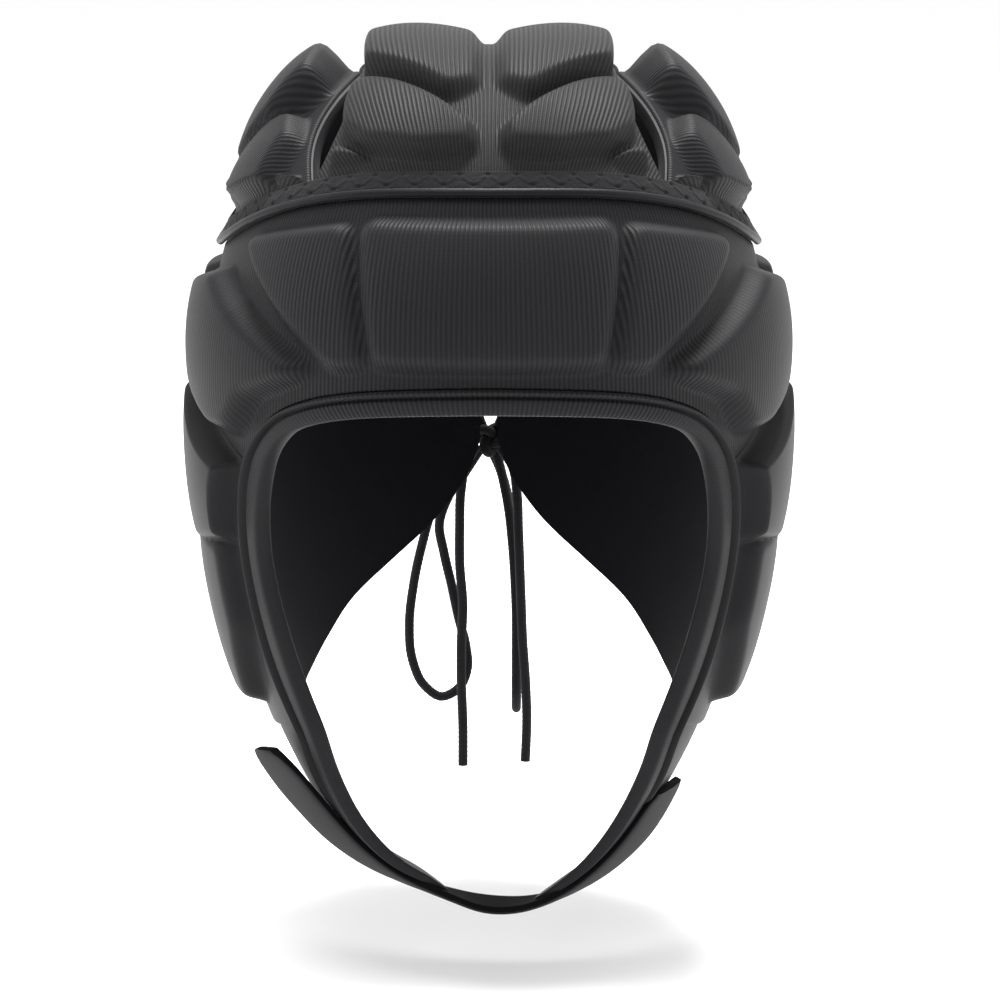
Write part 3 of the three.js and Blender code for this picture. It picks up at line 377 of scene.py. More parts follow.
@dataclass(frozen=True)
class Pad:
    """Foam pad moulded into a panel: centre in chart numbers, corners in millimetres from it, how round
    its shoulder is, its height, whether its mirror image stands beside it, how much its top leans up
    towards its plus side, and the grid and shape of its relief."""

    at: Spot
    corners: tuple[Spot, ...]
    round: float
    height: float
    mirror: bool = False
    lean: float = 0.0
    cell: float = 0.5
    margin: float = 9.0
    belly: float = 0.25
    softness: float = 0.4
    draw_in: float = 0.7
    wide_blur: float = 4.0
    foot: float = 0.03
    wall_power: float = 2.2
    top_power: float = 0.9

    def table(self) -> tuple[Array, Array, Array]:
        """Height of the pad over a fine square grid. The outline's mask, drawn in by the shoulder, is
        blurred, and a steep power of it gives walls that are crisp at the foot and round at the top.
        A wider blur gives the belly.

        Returns:
            The grid's two axes and the heights as shares of the full one.
        """
        points = np.array(self.corners)
        low, high = points.min(axis=0) - self.margin, points.max(axis=0) + self.margin
        xs, ys = (np.arange(low[i], high[i], self.cell) for i in (0, 1))
        soft = self.softness * self.round
        outline = polygon_distance(self.corners, *np.meshgrid(xs, ys)) + self.draw_in * soft
        mask = np.clip(0.5 - outline / self.cell, 0, 1)
        near, wide = (
            blur_matrix(len(ys), reach / self.cell) @ mask @ blur_matrix(len(xs), reach / self.cell).T
            for reach in (soft, self.wide_blur * soft)
        )
        share = np.clip((near / near.max() - self.foot) / (1 - self.foot), 0, 1)
        shoulder = (1 - (1 - share) ** self.wall_power) ** self.top_power
        return xs, ys, shoulder * (1 - self.belly + self.belly * wide / wide.max())

    def relief(self, chart: Chart, position: Array, flip: int) -> Array:
        """Height of the pad at chart positions.

        Args:
            chart: Chart of the panel.
            position: Chart positions, by row and column.
            flip: 1 as written, or -1 for the other side of the head.

        Returns:
            Heights in millimetres.
        """
        across, along = chart.slopes(np.array(self.at[0]), np.array(self.at[1]))
        x = (flip * position[..., 0] - self.at[0]) * np.linalg.norm(across)
        y = (position[..., 1] - self.at[1]) * np.linalg.norm(along)
        xs, ys, heights = self.table()
        column = np.clip((x - xs[0]) / self.cell, 0, len(xs) - 1 - TINY)
        row = np.clip((y - ys[0]) / self.cell, 0, len(ys) - 1 - TINY)
        i, j = column.astype(int), row.astype(int)
        a, b = column - i, row - j
        low = heights[j, i] * (1 - a) + heights[j, i + 1] * a
        high = heights[j + 1, i] * (1 - a) + heights[j + 1, i + 1] * a
        return (self.height + self.lean * x) * (low * (1 - b) + high * b)


@dataclass(frozen=True)
class Border:
    """One border of a panel: how far pads stay off it, and how far its outer corner is rolled over."""

    clear: float = 1.5
    roll: float = 1.2


def border_distances(places: Array) -> dict[str, Array]:
    """Distance of each grid point to the four borders, measured along the grid's own lines.

    Args:
        places: Places of the grid, by row and column.

    Returns:
        Distances by the border's name.
    """
    across = np.linalg.norm(np.diff(places, axis=1), axis=2)
    along = np.linalg.norm(np.diff(places, axis=0), axis=2)
    left = np.pad(np.cumsum(across, axis=1), ((0, 0), (1, 0)))
    bottom = np.pad(np.cumsum(along, axis=0), ((1, 0), (0, 0)))
    return {"left": left, "right": left[:, -1:] - left, "bottom": bottom, "top": bottom[-1:] - bottom}


def new_object(
    name: str, points: Array, quads: Array, weave: Array | None = None, slots: Array | None = None
) -> bpy.types.Object:
    """Mesh object with its place in its mesh.

    Args:
        name: Name of the piece.
        points: Vertices in millimetres.
        quads: Four vertex numbers for each face.
        weave: Millimetres across and along the ribs for each vertex, or None.
        slots: Material slot of each face, or None for the first.

    Returns:
        The object, linked to the scene, with its faces pointing out.
    """
    used, numbers = np.unique(quads, return_inverse=True)
    quads = numbers.reshape(quads.shape)
    points = points[used]
    a, b, c, d = (points[quads[:, k]] for k in range(4))
    volume = np.sum(a * np.cross(b, c)) + np.sum(a * np.cross(c, d))
    if volume < 0:
        quads = quads[:, ::-1]
    mesh = bpy.data.meshes.new(name)
    mesh.vertices.add(len(points))
    mesh.vertices.foreach_set("co", (points * MM).ravel())
    mesh.loops.add(quads.size)
    mesh.loops.foreach_set("vertex_index", quads.ravel().astype(np.int32))
    mesh.polygons.add(len(quads))
    mesh.polygons.foreach_set("loop_start", np.arange(0, quads.size, 4, dtype=np.int32))
    mesh.polygons.foreach_set("use_smooth", np.ones(len(quads), bool))
    if slots is not None:
        mesh.polygons.foreach_set("material_index", slots.astype(np.int32))
    if weave is not None:
        layer = mesh.uv_layers.new(name="weave")
        layer.data.foreach_set("uv", (weave[used][quads.ravel()] * MM).ravel())
    mesh.update(calc_edges=True)
    piece = bpy.data.objects.new(name, mesh)
    bpy.context.scene.collection.objects.link(piece)
    return piece


def grid_quads(rows: int, columns: int, start: int = 0) -> Array:
    """Faces of a grid of vertices, numbered row by row from start."""
    first = start + np.arange(rows - 1)[:, None] * columns + np.arange(columns - 1)[None]
    return np.stack([first, first + 1, first + columns + 1, first + columns], axis=-1).reshape(-1, 4)


def shell(name: str, layers: Sequence[Array], weave: Array, kept: Array | None = None) -> bpy.types.Object:
    """Closed wall between the first and last of several grids of points, with its border walls going
    through the grids between them.

    Args:
        name: Name of the piece.
        layers: Grids of points from the outer face to the inner one.
        weave: Millimetres across and along the ribs, by row and column.
        kept: Which cells are there, or None for all of them.

    Returns:
        The piece, with slot 0 on the outer face, 1 on the inner one, and 2 and 3 on the border walls.
    """
    rows, columns = layers[0].shape[:2]
    size = rows * columns
    if kept is None:
        kept = np.ones((rows - 1, columns - 1), bool)
    cells = grid_quads(rows, columns)[kept.ravel()]
    last = (len(layers) - 1) * size
    faces = [cells, cells[:, ::-1] + last]
    slots = [np.zeros(len(cells), int), np.ones(len(cells), int)]
    padded = np.pad(kept, 1)
    numbers = np.arange(size).reshape(rows, columns)
    level = padded[1:, 1:-1].astype(int) - padded[:-1, 1:-1].astype(int)
    upright = padded[1:-1, 1:].astype(int) - padded[1:-1, :-1].astype(int)
    edges = [
        (numbers[:, :-1][level > 0], numbers[:, 1:][level > 0]),
        (numbers[:, 1:][level < 0], numbers[:, :-1][level < 0]),
        (numbers[1:][upright > 0], numbers[:-1][upright > 0]),
        (numbers[:-1][upright < 0], numbers[1:][upright < 0]),
    ]
    start = np.concatenate([edge[0] for edge in edges])
    end = np.concatenate([edge[1] for edge in edges])
    for k in range(len(layers) - 1):
        near, far = k * size, (k + 1) * size
        faces.append(np.stack([end + near, start + near, start + far, end + far], axis=1))
        slots.append(np.full(len(start), 2 if k == 0 else 3))
    points = np.concatenate([layer.reshape(-1, 3) for layer in layers])
    repeated = np.concatenate([weave.reshape(-1, 2)] * len(layers))
    return new_object(name, points, np.concatenate(faces), repeated, np.concatenate(slots))


def tube(name: str, rings: Array, weave: Array | None = None, closed: bool = False) -> bpy.types.Object:
    """Skin over rings of points, closed by a small fan-like cap of quads at each end unless the rings
    close on each other.

    Args:
        name: Name of the piece.
        rings: Points by ring and place round it.
        weave: Millimetres across and along the ribs, like rings, or None.
        closed: Whether the last ring joins the first.

    Returns:
        The piece.
    """
    if not closed:
        ends = [np.repeat(rings[k].mean(axis=0)[None, None], rings.shape[1], axis=1) for k in (0, -1)]
        rings = np.concatenate([ends[0], rings, ends[1]])
        if weave is not None:
            weave = np.concatenate([weave[:1], weave, weave[-1:]])
    count, size = rings.shape[:2]
    first = np.arange(count if closed else count - 1)[:, None]
    here = np.arange(size)[None]
    near, far, beside = first * size, (first + 1) % count * size, (here + 1) % size
    quads = np.stack([near + here, near + beside, far + beside, far + here], axis=-1).reshape(-1, 4)
    flat = None if weave is None else weave.reshape(-1, 2)
    piece = new_object(name, rings.reshape(-1, 3), quads, flat)
    if not closed:
        merge_ends(piece)
    return piece


def merge_ends(piece: bpy.types.Object) -> None:
    """Merges the points that lie on each other at the middle of a tube's end caps."""
    body = bmesh.new()
    body.from_mesh(piece.data)
    bmesh.ops.remove_doubles(body, verts=body.verts, dist=1e-7)
    bmesh.ops.recalc_face_normals(body, faces=body.faces)
    body.to_mesh(piece.data)
    body.free()


def frames(path: Array) -> tuple[Array, Array]:
    """Two unit directions square to a path at each of its points, turned no more than they must: each
    pair is the last one with the path's new direction taken out of it.

    Args:
        path: Points of the path.

    Returns:
        The first directions and the second ones.
    """
    ahead = unit(np.gradient(path, axis=0))
    helper = np.array([0.0, 1.0, 0.0]) if abs(ahead[0][1]) < 0.9 else np.array([1.0, 0.0, 0.0])
    across = [unit(np.cross(helper, ahead[0]))]
    for direction in ahead[1:]:
        across.append(unit(across[-1] - direction * np.dot(across[-1], direction)))
    across = np.array(across)
    return across, np.cross(ahead, across)


def braided(
    name: str, path: Array, radius: float, strands: int = 4, pitch: float = 3.4, sides: int = 20,
    body: float = 1.01, relief: float = 0.05,
) -> bpy.types.Object:
    """Braided cord along a path: a round tube whose radius rises where strands that wind both ways
    cross, as the product of two cosines of turn plus and minus distance.

    Args:
        name: Name of the piece.
        path: Points of the centre line, in millimetres.
        radius: Radius over the strands.
        strands: Strands each way.
        pitch: Distance in which a strand winds round once, shared out among the strands.
        sides: Points round the cord.
        body: Mean radius, as a share of the radius.
        relief: Height of the strands, as a share of the radius.

    Returns:
        The piece.
    """
    across, up = frames(path)
    run, turn = run_length(path), turns(sides)
    wave = 2 * np.pi * run[:, None] / pitch
    cross = np.cos(strands * turn[None] + wave) * np.cos(strands * turn[None] - wave)
    size = radius * (body + relief * cross)
    ring = size[..., None] * (
        np.cos(turn)[None, :, None] * across[:, None] + np.sin(turn)[None, :, None] * up[:, None]
    )
    weave = np.stack(np.broadcast_arrays(radius * turn[None], run[:, None]), axis=-1)
    return tube(name, path[:, None] + ring, weave)


class Nodes:
    """Short names for the node calls that the finishes share."""

    def __init__(self, name: str) -> None:
        """Starts a material with its shader."""
        self.material = bpy.data.materials.new(name)
        self.material.use_nodes = True
        self.tree = self.material.node_tree
        self.shader = self.tree.nodes["Principled BSDF"]

    def fill(self, socket: bpy.types.NodeSocket, value: object) -> None:
        """Links a socket to another one, or sets its value."""
        if isinstance(value, bpy.types.NodeSocket):
            self.tree.links.new(value, socket)
        else:
            socket.default_value = value

    def add(self, kind: str, inputs: dict[str | int, object], **settings: object) -> bpy.types.Node:
        """Adds a node.

        Args:
            kind: Type of the node.
            inputs: Sockets or values for its inputs, by name or number.
            **settings: Properties of the node.

        Returns:
            The node.
        """
        node = self.tree.nodes.new(kind)
        for key, value in settings.items():
            setattr(node, key, value)
        for key, value in inputs.items():
            self.fill(node.inputs[key], value)
        return node

    def math(self, operation: str, *values: object) -> bpy.types.NodeSocket:
        """Result of a math node."""
        return self.add("ShaderNodeMath", dict(enumerate(values)), operation=operation).outputs[0]

    def place(self) -> bpy.types.NodeSocket:
        """Object coordinates, in metres."""
        return self.add("ShaderNodeTexCoord", {}).outputs["Object"]

    def wave(self, value: bpy.types.NodeSocket, pitch: float) -> bpy.types.NodeSocket:
        """Sine between 0 and 1 of a distance, with its pitch in millimetres."""
        turn = self.math("MULTIPLY", value, 2 * math.pi / (pitch * MM))
        return self.math("MULTIPLY_ADD", self.math("SINE", turn), 0.5, 0.5)

    def ramp(self, value: bpy.types.NodeSocket, limits: Spot, ends: Spot) -> bpy.types.NodeSocket:
        """Smooth ramp between two ends, over limits in millimetres."""
        inputs = {0: value, 1: limits[0] * MM, 2: limits[1] * MM, 3: ends[0], 4: ends[1]}
        return self.add("ShaderNodeMapRange", inputs, interpolation_type="SMOOTHSTEP").outputs[0]

    def noise(self, vector: bpy.types.NodeSocket, scale: float, detail: float = 3.0) -> bpy.types.NodeSocket:
        """Noise value at a scale in waves to the metre."""
        inputs = {"Vector": vector, "Scale": scale, "Detail": detail}
        return self.add("ShaderNodeTexNoise", inputs).outputs["Fac"]

    def mixed(self, share: bpy.types.NodeSocket, low: Colour, high: Colour) -> bpy.types.NodeSocket:
        """Colour between two colours."""
        inputs = {0: share, 6: (*low, 1), 7: (*high, 1)}
        return self.add("ShaderNodeMix", inputs, data_type="RGBA").outputs[2]

    def bump(self, height: bpy.types.NodeSocket, depth: float, **normal: object) -> bpy.types.NodeSocket:
        """Normal from a height, with its depth in millimetres, laid over another Normal if one is given."""
        inputs = {"Height": height, "Distance": depth * MM, "Strength": 1.0, **normal}
        return self.add("ShaderNodeBump", inputs).outputs["Normal"]

    def shade(self, **values: object) -> bpy.types.Material:
        """Sets or links the shader's sockets, named with underscores for spaces, and gives the material."""
        for key, value in values.items():
            self.fill(self.shader.inputs[key.replace("_", " ")], value)
        return self.material


@dataclass(frozen=True)
class KnitFinish:
    """Ribbed knit: ribs across the weave map's first axis, loops along its second, and a fine fuzz.
    The ribs fade between two distances from the middle, and below the ears, where the cloth is
    stretched smooth. Pitches and depths are millimetres, and scales are waves to the metre."""

    name: str
    # Ends of the knit's colour range. They span the random fuzz and cloud tone, and they also paint light on the
    # rib and loop crests and shade in their valleys.
    pale_tone_and_lit_crest: Colour = (0.0135, 0.0135, 0.015)
    dark_tone_and_shaded_valley: Colour = (0.0035, 0.0035, 0.0043)
    pitch: float = 1.27
    rib_depth: float = 0.15
    fade: Spot = (38.0, 62.0)
    foot: Spot = (-150.0, -110.0)
    faded: float = 0.12
    loop_pitch: float = 0.9
    loop_share: float = 0.15
    wander: float = 0.6
    wander_scale: float = 60.0
    fuzz_scale: float = 2600.0
    fuzz_depth: float = 0.05
    fuzz_tone: float = 0.5
    rib_shading_tone: float = 0.6
    cloud_scale: float = 45.0
    cloud_tone: float = 0.25
    dark: float = 0.2
    roughness: float = 0.6
    polish: float = 0.12
    specular: float = 0.12
    sheen: float = 0.03
    sheen_roughness: float = 0.45

    def knit(self, nodes: Nodes, place: bpy.types.NodeSocket) -> bpy.types.NodeSocket:
        """Height of the ribs and loops, as a share that settles at a half where they fade.

        Args:
            nodes: Nodes of the material.
            place: Object coordinates.

        Returns:
            The height.
        """
        weave = nodes.add("ShaderNodeUVMap", {}, uv_map="weave").outputs["UV"]
        parts = nodes.add("ShaderNodeSeparateXYZ", {0: weave}).outputs
        axes = nodes.add("ShaderNodeSeparateXYZ", {0: place}).outputs
        wander = nodes.math("MULTIPLY", nodes.noise(place, self.wander_scale), self.wander * MM)
        rib = nodes.wave(nodes.math("ADD", parts[0], wander), self.pitch)
        loop = nodes.wave(parts[1], self.loop_pitch)
        body = nodes.math("MULTIPLY", rib, 1 - self.loop_share)
        ribbed = nodes.math("MULTIPLY_ADD", loop, nodes.math("MULTIPLY", rib, self.loop_share), body)
        middle = nodes.ramp(nodes.math("ABSOLUTE", axes[0]), self.fade, (1.0, self.faded))
        strength = nodes.math("MULTIPLY", middle, nodes.ramp(axes[2], self.foot, (self.faded, 1.0)))
        return nodes.math("MULTIPLY_ADD", nodes.math("SUBTRACT", ribbed, 0.5), strength, 0.5)

    def material(self) -> bpy.types.Material:
        """Builds the material: the tone is the sum of fuzz, knit and cloud, each by its share; the knit's part
        is painted shade in the valleys and painted light on the crests.
        """
        nodes = Nodes(self.name)
        place = nodes.place()
        knit = self.knit(nodes, place)
        fuzz = nodes.noise(place, self.fuzz_scale, 2.0)
        cloud = nodes.noise(place, self.cloud_scale)
        # The knit's height sets part of the colour: painted shade in the rib and loop valleys and painted light
        # on their crests. The fuzz and cloud add random tone.
        tone = nodes.math("MULTIPLY_ADD", fuzz, self.fuzz_tone, nodes.math("MULTIPLY", knit, self.rib_shading_tone))
        tone = nodes.math("MULTIPLY_ADD", cloud, self.cloud_tone, nodes.math("SUBTRACT", tone, self.dark))
        clamped = nodes.add("ShaderNodeClamp", {0: tone}).outputs[0]
        return nodes.shade(
            Base_Color=nodes.mixed(clamped, self.dark_tone_and_shaded_valley, self.pale_tone_and_lit_crest),
            Roughness=nodes.math("MULTIPLY_ADD", knit, -self.polish, self.roughness),
            Normal=nodes.bump(fuzz, self.fuzz_depth, Normal=nodes.bump(knit, self.rib_depth)),
            Specular_IOR_Level=self.specular,
            Sheen_Weight=self.sheen,
            Sheen_Roughness=self.sheen_roughness,
        )


@dataclass(frozen=True)
class ClothFinish:
    """Plain cloth or bare foam with a fine grain and no ribs, between two colours. The grain's depth is
    millimetres, and scales are waves to the metre."""

    name: str
    light: Colour
    dark: Colour
    grain: float = 1800.0
    grain_depth: float = 0.08
    grain_tone: float = 0.6
    grain_roughness: float = 0.15
    cloud: float = 70.0
    roughness: float = 0.77
    specular: float = 0.1
    sheen: float = 0.05

    def material(self) -> bpy.types.Material:
        """Builds the material."""
        nodes = Nodes(self.name)
        place = nodes.place()
        grain = nodes.noise(place, self.grain)
        cloud = nodes.math("MULTIPLY", nodes.noise(place, self.cloud), 1 - self.grain_tone)
        return nodes.shade(
            Base_Color=nodes.mixed(
                nodes.math("MULTIPLY_ADD", grain, self.grain_tone, cloud), self.dark, self.light
            ),
            Roughness=nodes.math("MULTIPLY_ADD", grain, self.grain_roughness, self.roughness),
            Normal=nodes.bump(grain, self.grain_depth),
            Specular_IOR_Level=self.specular,
            Sheen_Weight=self.sheen,
        )


@dataclass(frozen=True)
class EnamelFinish:
    """Black enamel over metal, worn a little at random: the wear is a power of noise."""

    name: str
    colour: Colour = (0.012, 0.012, 0.013)
    worn: Colour = (0.05, 0.05, 0.052)
    scale: float = 700.0
    detail: float = 4.0
    power: float = 4.0
    roughness: float = 0.28
    worn_roughness: float = 0.3
    wear_depth: float = 0.02
    metallic: float = 0.6

    def material(self) -> bpy.types.Material:
        """Builds the material."""
        nodes = Nodes(self.name)
        wear = nodes.math("POWER", nodes.noise(nodes.place(), self.scale, self.detail), self.power)
        return nodes.shade(
            Base_Color=nodes.mixed(wear, self.colour, self.worn),
            Roughness=nodes.math("MULTIPLY_ADD", wear, self.worn_roughness, self.roughness),
            Normal=nodes.bump(wear, self.wear_depth),
            Metallic=self.metallic,
        )


class Finishes:
    """Every material of the helmet, each built once."""

    def __init__(self) -> None:
        """Builds the materials."""
        unfaded = (200.0, 210.0)
        self.brow = KnitFinish("brow_knit", fade=(50.0, 78.0), faded=0.3).material()
        self.crown = KnitFinish(
            "crown_knit", pale_tone_and_lit_crest=(0.018, 0.018, 0.019), rib_depth=0.2, fade=unfaded
        ).material()
        self.strips = KnitFinish("strip_knit", rib_depth=0.1, fade=unfaded).material()
        self.side = KnitFinish("side_knit", rib_depth=0.05, pale_tone_and_lit_crest=(0.011, 0.011, 0.0125)).material()
        self.trim = KnitFinish("trim_knit", rib_depth=0.16, pale_tone_and_lit_crest=(0.015, 0.015, 0.0165)).material()
        self.piping = ClothFinish(
            "piping_cloth", (0.007, 0.007, 0.0085), (0.004, 0.004, 0.005), roughness=0.34
        ).material()
        self.tape = ClothFinish(
            "tape_weave", (0.017, 0.017, 0.018), (0.005, 0.005, 0.006), grain=900.0, grain_depth=0.3
        ).material()
        self.strap = ClothFinish("strap_cloth", (0.013, 0.013, 0.0145), (0.008, 0.008, 0.009)).material()
        # Loop tape on the strap's inner face: its own dark colour, made near black as painted shade where the
        # strap looks in under the helmet.
        self.loop = ClothFinish(
            "strap_loop_painted_shade", (0.0015, 0.0015, 0.002), (0.0008, 0.0008, 0.001), roughness=0.87, sheen=0.0
        ).material()
        self.lining = ClothFinish("lining", (0.008, 0.0076, 0.0105), (0.004, 0.0038, 0.0055)).material()
        self.edge = ClothFinish("cut_edge", (0.22, 0.22, 0.22), (0.06, 0.06, 0.06), grain=1200.0).material()
        self.cord = ClothFinish("cord_braid", (0.016, 0.016, 0.018), (0.006, 0.006, 0.007)).material()
        self.eyelet = EnamelFinish("eyelet_enamel").material()

    def covering(
        self, knit: bpy.types.Material, edge: bpy.types.Material | None = None
    ) -> tuple[bpy.types.Material, ...]:
        """Materials of a padded panel: outer face, inner face, cut edge and the foam below it.

        Args:
            knit: Covering of the outer face.
            edge: Finish of the cut edge, or None for the covering.

        Returns:
            The materials by slot.
        """
        return knit, self.lining, edge or knit, self.lining


def dress(
    piece: bpy.types.Object, materials: Sequence[bpy.types.Material], slot: str, *nodes: str,
    fill: float | None = None,
) -> None:
    """Dresses a piece and reports it.

    Args:
        piece: The piece.
        materials: Its materials, in the order of its faces' slots.
        slot: Name of its material slot; not used.
        *nodes: Nodes that it stands for.
        fill: How full of foam a padded piece is, or None for another piece; not used.
    """
    for material in materials:
        piece.data.materials.append(material)
    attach(piece, BODY)
    if nodes:
        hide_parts(*nodes)
    LOG.info("%s: %d faces", piece.name, len(piece.data.polygons))


BROW_PADS = (
    Pad((0, -60), ((-37, 19), (37, 19), (30, -19.5), (-30, -19.5)), 5, 6),
    Pad((36, -61), ((-17, 19), (27, 12), (-17, -20), (-27, -19)), 4, 5, True),
    Pad(
        (55.5, -81.5),
        ((-41, 0), (6, 22), (36, 18), (44, 3), (30, -12), (1, -21), (-11, -21), (-20, -9)),
        4.5, 8.5, True,
    ),
    Pad((96, -67.5), ((-9, 5), (14, 6), (8, -3), (-7, -11)), 3, 5, True),
)
SIDE_PADS = (
    Pad((63.5, -119.5), ((-22, 15), (-8, 21), (24, 26), (37, 24), (37, -17), (13, -22), (-19, -15)), 5, 9),
    Pad((68, -161), ((-17, 25), (20, 27), (24, 6), (14, -26), (-15, -26), (-21, 0)), 5, 7.5),
    Pad((103.5, -84), ((-14, -16), (13, -16), (13, 25), (6, 18), (-14, 2)), 4, 6),
    Pad((103, -125), ((-14, 20), (14, 20), (14, -20), (-12, -20)), 5, 7),
    Pad((100, -172), ((-12, 20), (18, 20), (18, -18), (-10, -20)), 5, 6),
)
REAR_PADS = (
    Pad((133, -72), ((-20, 19), (22, 24), (18, -17), (-20, -17)), 5, 6),
    Pad((157.5, -68), ((-16, 22), (17, 24), (17, -14), (-19, -14)), 5, 6),
    Pad((133, -118), ((-20, 22), (19, 22), (15, -22), (-20, -22)), 6, 7),
    Pad((157.5, -113), ((-16, 24), (17, 24), (17, -6), (2, -24), (-16, -24)), 5, 6),
    Pad((130, -163), ((-18, 16), (20, 16), (14, -8), (-2, -20), (-18, -22)), 5, 5),
)
CENTRE_PADS = (
    Pad((11, 13), ((-15, -30), (15, -30), (16, 14), (-6, 33), (-15, 27)), 4, 8.5, True, 0.25),
    Pad((14.5, 35), ((9, -22), (15, -19), (19, 3), (15, 12), (0, 18), (-16, 18), (-17, 10)), 4, 7, True),
    Pad((29.5, 42.3), ((0, -7), (7, 4), (-7, 4)), 2, 4, True),
    Pad((11, -15), ((-15, 10), (15, 10), (16, -7), (-6, -13), (-15, -11)), 4, 8.5, True, 0.25),
    Pad((14.5, -37), ((9, 22), (15, 19), (19, -4), (15, -14), (0, -20), (-18, -20), (-19, -12)), 4, 7, True),
    Pad((29.5, -42.3), ((0, 7), (7, -4), (-7, -4)), 2, 4, True),
)
CROWN_SIDE_PADS = (
    Pad(
        (36, 4), ((-18.5, -17), (14, -19), (20, 6), (13, 14), (2, 18), (-14, 13), (-18, 0)), 4, 12, lean=-0.2
    ),
    Pad((42.5, 27), ((-15, -8), (-12, 4), (5, 16), (13, 11), (18, -4), (10, -19), (-8, -17)), 4, 7.5),
    Pad((54.5, 9), ((-7, -15), (7, -15), (8, 12), (2, 15), (-6, 9)), 3, 3.5),
    Pad((41.5, 40), ((-5, 1), (2, -6), (5, 3), (0, 6)), 1.5, 3),
    Pad((42.5, -29), ((-15, 8), (-12, -4), (5, -16), (13, -11), (18, 4), (10, 17), (-8, 17)), 4, 9),
    Pad((54.5, -20), ((-7, 14), (7, 14), (8, -12), (2, -15), (-6, -9)), 3, 7),
)


@dataclass
class PaddedPanel:
    """Foam panel covered with knit, on a grid of chart positions: its pads, its weave map, the side of
    the head that it is on (0 for both), how deep its covering is at a cut edge, its borders, over what
    distance pads rise from them, and its round holes."""

    name: str
    chart: Chart
    grid: Array
    pads: Sequence[Pad]
    weave: Array
    side: int = 0
    borders: dict[str, Border] = field(default_factory=dict)
    holes: Sequence[Spot] = ()
    wall: float = WALL
    cut: float = 0.8
    ease: float = 3.5
    hole_radius: float = 3.7

    def flips(self, pad: Pad) -> tuple[int, ...]:
        """Sides of the head on which the panel carries a pad."""
        return (1, -1) if pad.mirror else (self.side or 1,)

    def border_rows(self) -> list[tuple[Border, Array]]:
        """Each border with the grid points' distances to it."""
        places = self.chart.place(self.grid[..., 0], self.grid[..., 1])
        return [(self.borders.get(key, Border()), near) for key, near in border_distances(places).items()]

    def relief(self) -> Array:
        """Height of the pads over the grid, faded out where a border keeps them off."""
        heights = [pad.relief(self.chart, self.grid, flip) for pad in self.pads for flip in self.flips(pad)]
        height = np.max(heights, axis=0)
        for border, distance in self.border_rows():
            height = height * smoothstep(border.clear, border.clear + self.ease, distance)
        return height

    def rolled(self) -> Array:
        """Drop of the outer face near the borders: a quarter circle over each border's roll."""
        drop = np.zeros(self.grid.shape[:2])
        for border, distance in self.border_rows():
            near = np.clip(1 - distance / border.roll, 0, 1)
            drop = np.maximum(drop, border.roll * (1 - np.sqrt(1 - near**2)))
        return drop

    def build(self) -> bpy.types.Object:
        """Builds the panel as a closed wall: the outer face lifted by the wall and the pads, and the
        inner face on the head."""
        u, v = self.grid[..., 0], self.grid[..., 1]
        base, outward = self.chart.place(u, v), self.chart.outward(u, v)
        lift = self.wall + self.relief() - self.rolled()
        kept = None
        for azimuth, level in self.holes:
            base, kept = self.pierced(base, kept, azimuth, level)
        heights = (lift, lift - self.cut, np.zeros_like(lift))
        return shell(self.name, [base + outward * height[..., None] for height in heights], self.weave, kept)

    def pierced(self, base: Array, kept: Array | None, azimuth: float, level: float) -> tuple[Array, Array]:
        """Opens a round hole: the points inside its circle move out to the circle, and the cells that
        have all four there are left out.

        Args:
            base: Places of the grid on the head.
            kept: Which cells are there so far, or None for all of them.
            azimuth: Azimuth of the hole.
            level: Height of the hole.

        Returns:
            The moved places and the cells that are left.
        """
        centre = BAND.place(azimuth, level)
        axis = BAND.outward(np.array(azimuth), np.array(level))
        offset = base - centre
        offset = offset - (offset @ axis)[..., None] * axis
        reach = np.linalg.norm(offset, axis=-1)
        inside = reach < self.hole_radius
        moved = base + offset * (self.hole_radius / np.maximum(reach, TINY) - 1)[..., None]
        base = np.where(inside[..., None], moved, base)
        cell = inside[1:, 1:] & inside[1:, :-1] & inside[:-1, 1:] & inside[:-1, :-1]
        return base, ~cell if kept is None else kept & ~cell


@dataclass(frozen=True)
class FaceRim:
    """Face opening: azimuth of the bead and of the edge beside it, and their levels as shares of the
    way from the brow to the end of the cheek; then the tails below the cheeks."""

    rows: tuple[tuple[float, float, float, float], ...] = (
        (0, 0, 0, 0.069),
        (22, 0.022, 20, 0.085),
        (36.5, 0.088, 33, 0.132),
        (45.5, 0.196, 39.5, 0.2),
        (50, 0.3, 43, 0.29),
        (52, 0.412, 45.2, 0.405),
        (52.1, 0.525, 45.7, 0.53),
        (50.8, 0.667, 44, 0.66),
        (47.5, 0.827, 40.5, 0.82),
        (40.7, 1, 35.9, 0.99),
    )
    brow_rim: float = 84.2
    cheek_end: float = 190.4
    temple_azimuth: float = 48.5
    temple_search: Spot = (0.5, 0.8)
    search_steps: int = 600
    panel_edge: float = 1.04

    def curve(self, first: int, shares: Array) -> Array:
        """Band positions of the bead (first column 0) or the edge (first column 2) along the rim."""
        left = np.array(self.rows)[:, first:first + 2]
        left[:, 1] = -(self.brow_rim + (self.cheek_end - self.brow_rim) * left[:, 1])
        right = left[:0:-1] * (-1, 1)
        return spline(np.vstack([right, left]), shares)

    def at(self, shares: Array, across: float) -> Array:
        """Band positions along the rim, across from 0 at the opening's edge to 1 at the bead."""
        return (1 - across) * self.curve(2, shares) + across * self.curve(0, shares)

    @property
    def temple_share(self) -> float:
        """Share along the rim at which the bead passes the temple seam's azimuth."""
        shares = np.linspace(*self.temple_search, self.search_steps)
        return float(np.interp(self.temple_azimuth, self.curve(0, shares)[:, 0], shares))


RIM = FaceRim()


